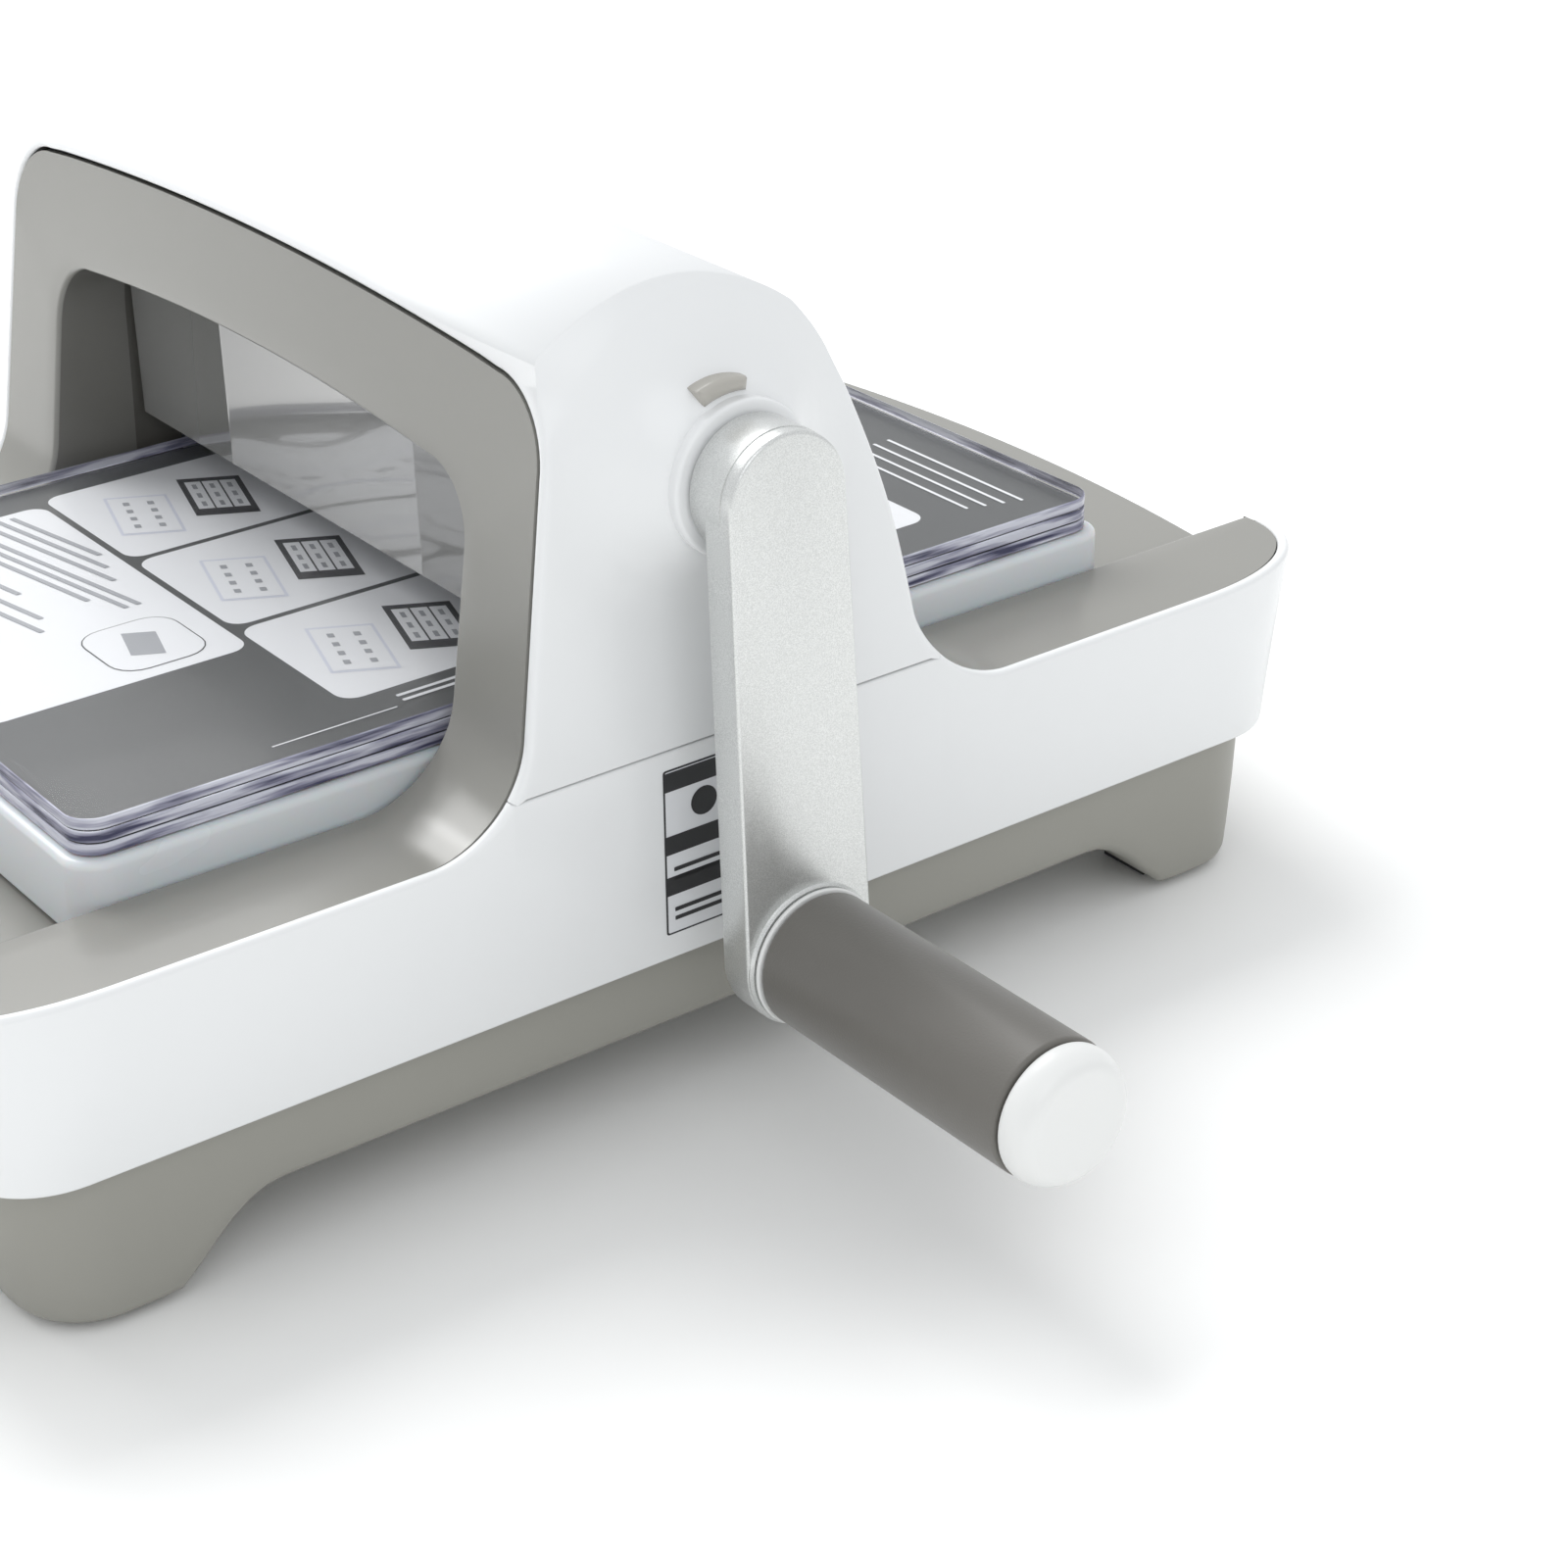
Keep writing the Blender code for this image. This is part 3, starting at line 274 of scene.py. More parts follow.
FROSTED = plastic("frosted_plate", (0.64, 0.665, 0.685), 0.26, 0.02, relief=0.02,
                  Subsurface_Weight=0.3, Subsurface_Scale=0.01)
SILVER = satin_silver()
STEEL = machined_metal("ground_steel", (0.56, 0.56, 0.57), 0.28)
BRONZE = machined_metal("oiled_bronze", (0.45, 0.30, 0.14), 0.36)
SHEET = plastic("printed_dark_sheet", (0.052, 0.055, 0.054), 0.34, 0.03, relief=0.02)
INK_WHITE = plastic("printed_white", (0.74, 0.75, 0.77), 0.35, 0.02, relief=0.02)
INK_GREY = plastic("printed_grey", (0.30, 0.31, 0.33), 0.4, 0.02, relief=0.02)
INK_BLACK = plastic("printed_black", (0.030, 0.030, 0.032), 0.4, 0.02, relief=0.02)
INK_PALE = plastic("printed_pale", (0.60, 0.62, 0.70), 0.35, 0.02, relief=0.02)
CLEAR = clear_sheet("clear_pad_face", (0.62, 0.63, 0.66), 0.04)
CLEAR_EDGE = clear_edge()


# ---- mesh helpers ---------------------------------------------------------------------------
def piece(name, verts, faces, looks, body, nodes=(), face_look=None, angle=35):
    """A mesh from machine coordinates that rides on a body and may stand for CAD nodes."""
    mesh = bpy.data.meshes.new(name)
    mesh.from_pydata([(x + MACHINE_X, y, z) for x, y, z in verts], [], faces)
    mesh.validate()
    for look in looks:
        mesh.materials.append(look)
    if face_look:
        for face, index in zip(mesh.polygons, face_look):
            face.material_index = index
    mesh.shade_smooth()
    mesh.set_sharp_from_angle(angle=math.radians(angle))
    obj = bpy.data.objects.new(name, mesh)
    bpy.context.scene.collection.objects.link(obj)
    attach(obj, body)
    if nodes:
        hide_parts(*nodes)
    return obj


def loft(rings, around=True, ends=False, closed=False):
    """Quads between rings of equal length; around closes each ring, closed the last pair."""
    size = len(rings[0])
    verts = [point for ring in rings for point in ring]
    faces = []
    span = size if around else size - 1
    for i in range(len(rings) if closed else len(rings) - 1):
        a, b = i * size, ((i + 1) % len(rings)) * size
        for j in range(span):
            k = (j + 1) % size
            faces.append((a + j, a + k, b + k, b + j))
    if ends:
        faces.append(tuple(range(size))[::-1])
        faces.append(tuple(range(len(verts) - size, len(verts))))
    return verts, faces


def merge(*parts):
    """Several (verts, faces) as one."""
    verts, faces = [], []
    for more_verts, more_faces in parts:
        base = len(verts)
        verts += more_verts
        faces += [tuple(base + i for i in face) for face in more_faces]
    return verts, faces


def arc(centre, radius, start, end, count):
    angles = [start + (end - start) * i / count for i in range(count + 1)]
    return [(centre[0] + radius * math.cos(a), centre[1] + radius * math.sin(a)) for a in angles]


def mix(a, b, share):
    return tuple(p + (q - p) * share for p, q in zip(a, b))


def rounded_rectangle(half_x, half_y, radius, count=10):
    points = []
    for quarter, (sx, sy) in enumerate(((1, 1), (-1, 1), (-1, -1), (1, -1))):
        centre = (sx * (half_x - radius), sy * (half_y - radius))
        start = quarter * math.pi / 2
        points += arc(centre, radius, start, start + math.pi / 2, count)
    return points


def turned(profile, centre, steps=72):
    """Verts and faces of (x, radius) points turned about the X axis through (y, z)."""
    rings = []
    for x, radius in profile:
        ring = []
        for step in range(steps):
            turn = math.tau * step / steps
            ring.append((x, centre[0] + radius * math.cos(turn),
                         centre[1] + radius * math.sin(turn)))
        rings.append(ring)
    return loft(rings, ends=True)


def round_slab(half_x, half_y, corner, low, high, edge, middle_y=0.0):
    """A flat plate with rounded corners and rounded top and bottom edges."""
    rings = []
    steps = [math.pi / 2 * i / 4 for i in range(5)]
    levels = [(edge * (1 - math.sin(a)), low + edge * (1 - math.cos(a))) for a in steps]
    levels += [(edge * (1 - math.cos(a)), high - edge * (1 - math.sin(a))) for a in steps]
    for inset, z in levels:
        outline = rounded_rectangle(half_x - inset, half_y - inset, corner - inset)
        rings.append([(x, y + middle_y, z) for x, y in outline])
    return loft(rings, ends=True)


# ---- rules shared with the CAD ---------------------------------------------------------------
def front_edge(z):
    return FRONT_Y + FRONT_LEAN * (ARCH_REF_Z - z)


def rear_edge(z):
    """The arch's rear face: it leans, bows out a little halfway up and rounds in at the top."""
    up = max(z - ARCH_FLARE_Z, 0.0)
    bow = REAR_BOW * math.sin(math.pi * up / (REAR_TURN_Z - ARCH_FLARE_Z))
    rounding = REAR_ROUNDING * max(z - REAR_TURN_Z, 0.0) ** 2
    return REAR_Y + REAR_LEAN * (ARCH_REF_Z - z) + bow - rounding


def flare_at(z):
    """(extra reach, slope) of the concave flare at the foot of the arch."""
    drop = min(max(ARCH_FLARE_Z - z, 0.0), FLARE_RADIUS * 0.999)
    root = math.sqrt(FLARE_RADIUS ** 2 - drop ** 2)
    return FLARE_RADIUS - root, drop / root


def housing_plan(z, inset, fine):
    """Quarter plan at height z: the end from its middle, then the arm round to the side."""
    share = (z - BODY_LOW_Z) / (RIM_Z - BODY_LOW_Z)
    side_x = SIDE_X + LOWER_DRAFT * (z - SEAM_Z) - inset
    tip_y = LOW_END_Y + (ARM_TIP_Y - LOW_END_Y) * share - inset
    start_y = LOW_START_Y + (ARM_START_Y - LOW_START_Y) * share
    end, arm = [], []
    for step in range(4 * fine + 1):
        x = CHANNEL_X * step / (4 * fine)
        end.append((x, tip_y - 0.0006 + END_BULGE * (1 - (x / CHANNEL_X) ** 2)))
    centre = (CHANNEL_X + 0.0012, start_y)
    count = 8 * fine
    for step in range(count + 1):
        turn = math.pi / 2 * (1 - step / count)
        round_x = math.cos(turn) ** SOFT_CORNER if step else 0.0
        round_y = math.sin(turn) ** SOFT_CORNER if step < count else 0.0
        arm.append((centre[0] + (side_x - centre[0]) * round_x,
                    centre[1] + (tip_y - centre[1]) * round_y))
    return end, arm


# ---- white housing -----------------------------------------------------------------------------
def side_edge_stations():
    """Top edge of the band's side: (y, z, edge direction) from the front to the rear."""
    height = ARCH_FLARE_Z - RIM_Z
    first = math.asin((ARCH_FLARE_Z - SEAM_Z + GAP / 2) / height)
    stations = []
    for end, edge in ((-1, front_edge), (1, rear_edge)):
        run = []
        for step in range(17):
            turn = first + (math.pi / 2 - first) * step / 16
            z = ARCH_FLARE_Z - height * math.sin(turn)
            y = edge(z) + FLARE_RADIUS * (1 - math.cos(turn))
            run.append((end * y, z, (end * math.cos(turn), math.sin(turn))))
        stations += run[::-1] if end < 0 else run
    return stations


def band_stations():
    """(bottom point, top point, edge direction) round one side of the band, front to rear."""
    low_end, low_arm = housing_plan(BODY_LOW_Z, 0, 4)
    high_end = housing_plan(FLOOR_Z, 0, 4)[0]
    high_arm = housing_plan(RIM_Z, 0, 4)[1]
    up = (0.0, 1.0)
    quarter = []
    for (low_x, low_y), (x, y) in zip(low_end, high_end):
        quarter.append(((low_x, low_y, BODY_LOW_Z), (x, y, FLOOR_Z), up))
    for (low_x, low_y), (x, y) in zip(low_arm, high_arm):
        quarter.append(((low_x, low_y, BODY_LOW_Z), (x, y, RIM_Z), up))
    front = [((a[0], -a[1], a[2]), (b[0], -b[1], b[2]), e) for a, b, e in quarter]
    low_x = low_arm[-1][0]
    side = []
    for y, z, edge in side_edge_stations():
        side.append(((low_x, y, BODY_LOW_Z), (SIDE_X + LOWER_DRAFT * (z - SEAM_Z), y, z), edge))
    return front + side + quarter[::-1]


def inward(points):
    """Unit plan normals of a closed ring of points, towards its middle."""
    normals = []
    for i, (x, y, _) in enumerate(points):
        ahead = points[(i + 1) % len(points)]
        along = Vector((ahead[0] - points[i - 1][0], ahead[1] - points[i - 1][1]))
        along = along.normalized() if along.length > 1e-7 else Vector((1, 0))
        side = Vector((-along[1], along[0]))
        if side.dot(Vector((x, y))) > 0:
            side = -side
        normals.append(side)
    return normals


def make_band():
    """The white band round the base: outer wall, rounded rim, inner wall, rounded foot."""
    right = band_stations()
    left = [((-a[0], a[1], a[2]), (-b[0], b[1], b[2]), e) for a, b, e in right[::-1]]
    ring = right[:-1] + left[:-1]
    sides = inward([b for _, b, _ in ring])
    rings = []
    for step in range(7):
        turn = math.pi * (1 - step / 6)
        depth, drop = TRIM * (1 - math.cos(turn)), 0.0010 * (1 - math.sin(turn))
        rings.append([(a[0] + n[0] * depth, a[1] + n[1] * depth, a[2] + drop)
                      for (a, _, _), n in zip(ring, sides)])
    for step in range(11):
        turn = math.pi * step / 10
        depth, back = TRIM * (1 - math.cos(turn)), -TRIM * (1 - math.sin(turn))
        rings.append([(b[0] + n[0] * depth, b[1] + n[1] * depth + e[0] * back, b[2] + e[1] * back)
                      for (_, b, e), n in zip(ring, sides)])
    verts, faces = loft(rings, closed=True)
    piece("housing_band", verts, faces, [WHITE], "housing", ["lower_housing"],
          angle=50)


def cover_half(inset):
    """Half cross-section of the cover: (x, z, height that the rules use)."""
    corner_z = COVER_TOP_Z - COVER_CROWN * (SIDE_X - COVER_CORNER) ** 2 - COVER_CORNER
    points = []
    low = SEAM_Z + GAP / 2
    for step in range(56):
        z = low + (corner_z - low) * step / 56
        points.append((SIDE_X - COVER_LEAN * (z - SEAM_Z) - inset, z, z))
    centre = (SIDE_X - COVER_LEAN * (corner_z - SEAM_Z) - COVER_CORNER, corner_z)
    for step in range(15):
        turn = math.pi / 2 * step / 14
        outer_z = corner_z + COVER_CORNER * math.sin(turn)
        radius = COVER_CORNER - inset
        points.append((centre[0] + radius * math.cos(turn), corner_z + radius * math.sin(turn),
                       outer_z))
    for step in range(1, 17):
        x = centre[0] * (1 - step / 16)
        top = COVER_TOP_Z - COVER_CROWN * x * x
        points.append((x, top - inset, top))
    return points


def dish(y, z):
    """How far out the cover stands round the crank's hub, at a point of the side."""
    away = math.hypot(y, z - HUB_Z)
    if away <= BOSS_PROFILE[0][0]:
        return BOSS_PROFILE[0][1]
    for (near, high), (far, low) in zip(BOSS_PROFILE, BOSS_PROFILE[1:]):
        if away <= far:
            return high + (low - high) * (away - near) / (far - near)
    return BOSS_PROFILE[-1][1]


def swell(x, y, z):
    """Blends the cover's side softly into the dished boss."""
    if x < SIDE_X / 2:
        return x
    boss = dish(y, z)
    soft = 0.0022
    share = min(max(0.5 + 0.5 * (boss - x) / soft, 0.0), 1.0)
    return x + (boss - x) * share + soft * share * (1 - share)


def cover_columns():
    """(depth, place, y shift, edge shift): the section's loop from inner front round to rear."""
    loop = []
    for step in range(9):
        turn = math.pi * step / 8
        loop.append((TRIM * (1 + math.cos(turn)), 0.0, -TRIM * (1 - math.sin(turn))))
    for step in range(1, 54):
        loop.append((0.0, step / 54, 0.0))
    for step in range(9):
        turn = math.pi * (1 - step / 8)
        loop.append((TRIM * (1 + math.cos(turn)), 1.0, -TRIM * (1 - math.sin(turn))))
    for step in range(1, 6):
        loop.append((2 * TRIM, 1 - step / 6, 0.0))
    return loop


def cover_point(section, share, back):
    """A point of the cover at a share of the way from its front edge to its rear edge."""
    x, z, rule_z = section
    extra, slope = flare_at(rule_z)
    front, rear = -front_edge(rule_z) - extra, rear_edge(rule_z) + extra
    size = math.hypot(1, slope)
    start, stop = front + TRIM, rear - TRIM
    y = start + (stop - start) * share
    if share == 0.0:
        y = front - back / size
    elif share == 1.0:
        y = rear + back / size
    lift_z = back * slope / size
    place = (y - front) / (rear - front)
    on_top = max(0.0, (rule_z - 0.12) / (COVER_TOP_Z - 0.12))
    lift = COVER_RIDGE * on_top * 4 * place * (1 - place)
    return (x, y, z + lift + lift_z)


def make_cover():
    """The arch as one smooth shell with rounded edges and the boss round the hub."""
    rings = []
    for depth, share, back in cover_columns():
        half = [cover_point(s, share, back) for s in cover_half(depth)]
        outside = depth < TRIM
        right = [(swell(x, y, z) if outside else x, y, z) for x, y, z in half]
        rings.append(right + [(-x, y, z) for x, y, z in half[-2::-1]])
    verts, faces = loft(rings, around=False, closed=True)
    piece("cover_shell", verts, faces, [WHITE], "housing", ["top_cover"],
          angle=60)


# ---- grey trays and bezels ----------------------------------------------------------------------
def bezel_side(edge):
    """(inner, outer, lean) stations up the bezel's side, from the tray to the corner."""
    stations = []
    lean = FRONT_LEAN if edge is front_edge else REAR_LEAN
    for step in range(13):
        turn = math.pi / 2 * (1 - step / 12)
        z = ARCH_FLARE_Z - (ARCH_FLARE_Z - DECK_Z) * math.sin(turn)
        y = edge(z) + FLARE_RADIUS * (1 - math.cos(turn))
        share = step / 12
        inner_x = CHANNEL_X + (OPENING_X - CHANNEL_X) * min(share * 1.2, 1.0)
        drafted = min(LOWER_DRAFT * (z - SEAM_Z), COVER_LEAN * (SEAM_Z - z))
        outer_x = SIDE_X + drafted - 2 * TRIM - FIT
        lean_here = math.atan(lean) + (math.pi / 2 - math.atan(lean)) * math.sin(turn)
        stations.append(((inner_x, y, z), (outer_x, y, z), lean_here))
    return stations


def bezel_top(edge):
    """Stations from the side over the rounded corner to the middle of the top."""
    lean = math.atan(FRONT_LEAN if edge is front_edge else REAR_LEAN)
    inset = 2 * TRIM + FIT
    corner_z = COVER_TOP_Z - COVER_CROWN * (SIDE_X - COVER_CORNER) ** 2 - COVER_CORNER
    outer_c = (SIDE_X - COVER_LEAN * (corner_z - SEAM_Z) - COVER_CORNER, corner_z)
    inner_c = (OPENING_X - OPENING_CORNER, OPENING_TOP_Z - OPENING_CROWN - OPENING_CORNER)
    pairs = []
    for step in range(1, 12):
        share = step / 12
        inner_z = ARCH_FLARE_Z + (inner_c[1] - ARCH_FLARE_Z) * share
        outer_z = ARCH_FLARE_Z + (corner_z - ARCH_FLARE_Z) * share
        outer_x = SIDE_X - COVER_LEAN * (outer_z - SEAM_Z) - inset
        pairs.append(((OPENING_X, inner_z), (outer_x, outer_z), outer_z))
    inner_arc = arc(inner_c, OPENING_CORNER, 0, math.pi / 2, 12)
    rim_arc = arc(outer_c, COVER_CORNER, 0, math.pi / 2, 12)
    outer_arc = arc(outer_c, COVER_CORNER - inset, 0, math.pi / 2, 12)
    pairs += [(a, b, rim[1]) for a, b, rim in zip(inner_arc, outer_arc, rim_arc)]
    for step in range(1, 11):
        inner_x, outer_x = inner_c[0] * (1 - step / 10), outer_c[0] * (1 - step / 10)
        inner_z = OPENING_TOP_Z - OPENING_CROWN * (inner_x / inner_c[0]) ** 2
        top = COVER_TOP_Z - COVER_CROWN * outer_x ** 2
        pairs.append(((inner_x, inner_z), (outer_x, top - inset), top))
    return [((a[0], edge(a[1]), a[1]), (b[0], edge(rim_z), b[1]), lean)
            for a, b, rim_z in pairs]


def tray_stations():
    """Stations along one arm and shelf, from the arm's tip in to the arch."""
    stations = []
    inset = 2 * TRIM + FIT
    arm = housing_plan(RIM_Z, inset, 4)[1]
    for x, y in arm:
        stations.append(((CHANNEL_X, y, DECK_Z), (x, y, DECK_Z), math.pi / 2))
    for step in range(1, 8):
        y = ARM_START_Y + (SHELF_END_Y - ARM_START_Y) * step / 8
        stations.append(((CHANNEL_X, y, DECK_Z), (arm[-1][0], y, DECK_Z), math.pi / 2))
    return stations


def lip_and_wall(inner, outer, lean, target):
    """The rounded lip at a station, then the wall behind it down to its target point."""
    across = (Vector(outer) - Vector(inner)).normalized()
    into = Vector((0, -math.cos(lean), -math.sin(lean)))
    points = []
    for step in range(6):
        turn = math.pi / 2 * (1 - step / 5)
        shift = across * LIP * (1 - math.cos(turn)) + into * LIP * (1 - math.sin(turn))
        points.append(tuple(Vector(inner) + shift))
    points = points[::-1]
    wall = [mix(points[0], target, share) for share in (1.0, 0.6, 0.25, 0.08)]
    return wall + points


def deck_rows(stations, wall_targets):
    """Rows of points from the tunnel's inside, round the lip and out to the rim."""
    rows = []
    for (inner, outer, lean), target in zip(stations, wall_targets):
        row = lip_and_wall(inner, outer, lean, target)
        start = row[-1]
        row += [mix(start, outer, share) for share in (0.2, 0.4, 0.6, 0.8, 1.0)]
        into = Vector((0, -math.cos(lean), -math.sin(lean)))
        row += [tuple(Vector(outer) + into * depth) for depth in (0.0008, 0.0024)]
        rows.append(row)
    return rows


def wall_target(inner):
    """Where the wall behind a station ends: on the channel floor or back at the rollers."""
    x, y, z = inner
    if z <= DECK_Z + 0.0002:
        return (CHANNEL_X, y, FLOOR_Z)
    if z < ARCH_FLARE_Z:
        share = (z - DECK_Z) / (ARCH_FLARE_Z - DECK_Z)
        return (CHANNEL_X, WALL_END_Y + (ROLLER_GAP_Y - WALL_END_Y) * share, FLOOR_Z)
    top = OPENING_TOP_Z - 0.016
    share = min((z - ARCH_FLARE_Z) / (top - ARCH_FLARE_Z), 1.0)
    return (min(x, CHANNEL_X + 0.0005), ROLLER_GAP_Y, FLOOR_Z + (z - FLOOR_Z) * share)


def arm_end_caps(station):
    """Small upright faces that close the channel's walls at the tips of both arms."""
    y = station[0][1]
    caps = []
    for side in (-1, 1):
        near, far = side * CHANNEL_X, side * (CHANNEL_X + 0.0035)
        corners = [(near, y, FLOOR_Z), (far, y, FLOOR_Z), (far, y, DECK_Z), (near, y, DECK_Z)]
        caps.append((corners, [(0, 1, 2, 3)]))
    return caps


def wall_looks(inner, count):
    """Material of each face across a station: painted shade makes the tunnel's wall darker than its
    lip, darkest in its deepest strip.
    """
    if inner[2] < DECK_Z + 0.0002:
        return [0] * count
    return [1] + [2] * 3 + [0] * (count - 4)


def make_deck(name, end, node):
    """One tray: shelves, arms and the bezel as one skin, with the channel floor."""
    edge = front_edge if end < 0 else rear_edge
    stations = tray_stations() + bezel_side(edge) + bezel_top(edge)
    rows = deck_rows(stations, [wall_target(inner) for inner, _, _ in stations])
    looks = []
    for inner, _, _ in stations[1:]:
        looks += wall_looks(inner, len(rows[0]) - 1)
    mirrored = [[(-x, y, z) for x, y, z in row] for row in rows[-2::-1]]
    verts, faces = loft(rows + mirrored, around=False)
    for inner, _, _ in stations[-2::-1]:
        looks += wall_looks(inner, len(rows[0]) - 1)
    floor = []
    rim = housing_plan(FLOOR_Z, 2 * TRIM - FIT, 3)[0]
    for x, rim_y in [(-x, y) for x, y in rim[:0:-1]] + rim:
        floor.append([(x, y, FLOOR_Z)
                      for y in (ROLLER_GAP_Y, 0.06, 0.11, rim_y - 0.001, rim_y)])
    floor_verts, floor_faces = loft(floor, around=False)
    looks += [0] * len(floor_faces)
    verts, faces = merge((verts, faces), (floor_verts, floor_faces), *arm_end_caps(stations[0]))
    looks += [0] * 2
    verts = [(x, end * y, z) for x, y, z in verts]
    # The tray's own grey, then painted shade for the tunnel's deepest strip and for its wall.
    piece(name, verts, faces, [GREY, TUNNEL_SHADE_GREY, CHEEK_SHADE_GREY], "housing", [node],
          face_look=looks, angle=60)


def make_shield(name, end, node):
    """A flat glossy guard with two faint moulded lines, behind one tray's bezel."""
    reach = CHANNEL_X - GAP
    low, high, ridge = SHIELD_LOW_Z, SHIELD_HIGH_Z, 0.00012
    across = [-reach, -reach + 0.0006, reach - 0.0006, reach]
    for x in (-SHIELD_LINE_X, SHIELD_LINE_X):
        across += [x - 0.0004, x, x + 0.0004]
    rings = []
    for x in sorted(across):
        edge = 0.0006 if abs(x) == reach else 0.0
        out = SHIELD_FAR_Y - edge + (ridge if abs(abs(x) - SHIELD_LINE_X) < 1e-6 else 0.0)
        profile = [(SHIELD_NEAR_Y, low), (out - 0.0006, low), (out, low + 0.0006),
                   (out, high - 0.0006), (out - 0.0006, high), (SHIELD_NEAR_Y, high)]
        rings.append([(x, end * y, z) for y, z in profile])
    verts, faces = loft(rings, ends=True)
    piece(name, verts, faces, [SHIELD], "housing", [node], angle=40)


# ---- base ----------------------------------------------------------------------------------------
def base_plan(half_x, half_y, radius):
    """Closed outline with the straight sides divided finely enough for the legs' curves."""
    points = []
    corners = ((1, 1), (-1, 1), (-1, -1), (1, -1))
    for number, (sx, sy) in enumerate(corners):
        centre = (sx * (half_x - radius), sy * (half_y - radius))
        start = number * math.pi / 2
        points += arc(centre, radius, start, start + math.pi / 2, 10)
        step_x, step_y = corners[(number + 1) % 4]
        following = (step_x * (half_x - radius), step_y * (half_y - radius))
        stop = (following[0] + radius * math.cos(start + math.pi / 2),
                following[1] + radius * math.sin(start + math.pi / 2))
        points += [mix(points[-1], stop, step / 70) for step in range(1, 70)]
    return points


def leg_edge(x, y):
    """Height of the base's lower edge: the legs' toes, then a soft curve up to the gaps."""
    share_y = min(max((LEG_GAP_Y - abs(y)) / LEG_RUN_Y, 0.0), 1.0) ** 0.7
    share_x = min(max((LEG_GAP_X - abs(x)) / LEG_RUN_X, 0.0), 1.0)
    share = max(share_x, share_y)
    return LEG_TOE_Z + (BASE_UNDER_Z - LEG_TOE_Z) * share * share * (3 - 2 * share)


def make_base():
    """The grey base: drafted wall, rounded lower edge, and legs that curve into it."""
    rings = []
    for share in (1.0, 0.8, 0.6, 0.4, 0.25, 0.12, 0.0):
        ring = []
        for a, b in zip(base_plan(*BASE_TOP), base_plan(*BASE_TOE)):
            low = leg_edge(*b) + LEG_ROUNDING
            z = low + (BASE_TOP_Z - low) * share
            drop = (BASE_TOP_Z - z) / (BASE_TOP_Z - LEG_TOE_Z)
            x, y = mix(a, b, drop ** 2)
            ring.append((x, y, z))
        rings.append(ring)
    half_x, half_y, corner = BASE_TOE
    for inset, lift in ((0.0002, 0.0012), (0.0008, 0.0005), (0.0018, 0.0), (0.0220, 0.0)):
        plan = base_plan(half_x - inset, half_y - inset, max(corner - inset, 0.002))
        rings.append([(x, y, leg_edge(x, y) + lift) for x, y in plan])
    plan = base_plan(half_x - 0.0225, half_y - 0.0240, 0.002)
    rings.append([(x, y, BASE_UNDER_Z) for x, y in plan])
    verts, faces = loft(rings)
    faces.append(tuple(range(len(verts) - len(plan), len(verts))))
    piece("base_with_legs", verts, faces, [BASE_GREY], "housing", ["base_pan"],
          angle=50)


# ---- crank ---------------------------------------------------------------------------------------
def tilted(points, origin=(0.0, HUB_Z)):
    """Crank points (x, along, across the arm) turned with the crank about the hub."""
    lean = Matrix.Rotation(CRANK_TILT, 3, "X")
    return [tuple(lean @ Vector((x, y, z)) + Vector((0, *origin))) for x, y, z in points]


def arm_outline(inset):
    """Hub circle and foot circle joined by tangents, as (y, z) about the hub."""
    big, small = FOOT_RADIUS - inset, HUB_RADIUS - inset
    lean = math.asin((big - small) / CRANK_LENGTH)
    top = arc((0, 0), small, lean, math.pi - lean, 36)
    bottom = arc((0, -CRANK_LENGTH), big, math.pi - lean, math.tau + lean, 36)
    return top + bottom


def make_crank_arm():
    """The flat cranked arm with soft edges, its hub boss and the ring at the grip."""
    levels = [(0.0005, ARM_FACE_X - ARM_T), (0.0001, ARM_FACE_X - ARM_T + 0.0003)]
    levels += [(0.0, ARM_FACE_X - ARM_T + 0.0006), (0.0, ARM_FACE_X - ARM_EDGE)]
    for step in range(1, 5):
        turn = math.pi / 2 * step / 4
        levels.append((ARM_EDGE * (1 - math.cos(turn)),
                       ARM_FACE_X - ARM_EDGE * (1 - math.sin(turn))))
    rings = [tilted([(x, y, z) for y, z in arm_outline(inset)]) for inset, x in levels]
    arm = loft(rings, ends=True)
    radius = HUB_RADIUS + 0.0002
    boss = turned([(BOSS_X, radius - 0.0006), (BOSS_X + 0.0002, radius - 0.0002),
                   (BOSS_X + 0.0006, radius), (ARM_FACE_X - 0.0030, radius),
                   (ARM_FACE_X - 0.0029, radius - 0.0006)], (0, HUB_Z))
    foot = tilted([(0, 0, -CRANK_LENGTH)])[0]
    ring = turned([(ARM_FACE_X - 0.001, 0.0144), (ARM_FACE_X + 0.0001, 0.0144),
                   (ARM_FACE_X + 0.0003, 0.01425), (ARM_FACE_X + 0.0005, 0.01415),
                   (ARM_FACE_X + 0.0008, 0.0140), (ARM_FACE_X + 0.0008, 0.006)],
                  (foot[1], foot[2]))
    verts, faces = merge(arm, boss, ring)
    piece("crank_arm_painted", verts, faces, [SILVER], "crank", ["crank_arm"],
          angle=30)
    return foot


def rounded_profile(points, radius, steps=4):
    """(x, r) profile with each inner corner replaced by a small curve."""
    rounded = [points[0]]
    for before, here, after in zip(points, points[1:], points[2:]):
        a, b, c = Vector(before), Vector(here), Vector(after)
        cut = min(radius, (a - b).length / 2.2, (c - b).length / 2.2)
        start, stop = b + (a - b).normalized() * cut, b + (c - b).normalized() * cut
        for step in range(steps + 1):
            t = step / steps
            rounded.append(tuple((1 - t) ** 2 * start + 2 * t * (1 - t) * b + t * t * stop))
    rounded.append(points[-1])
    return rounded


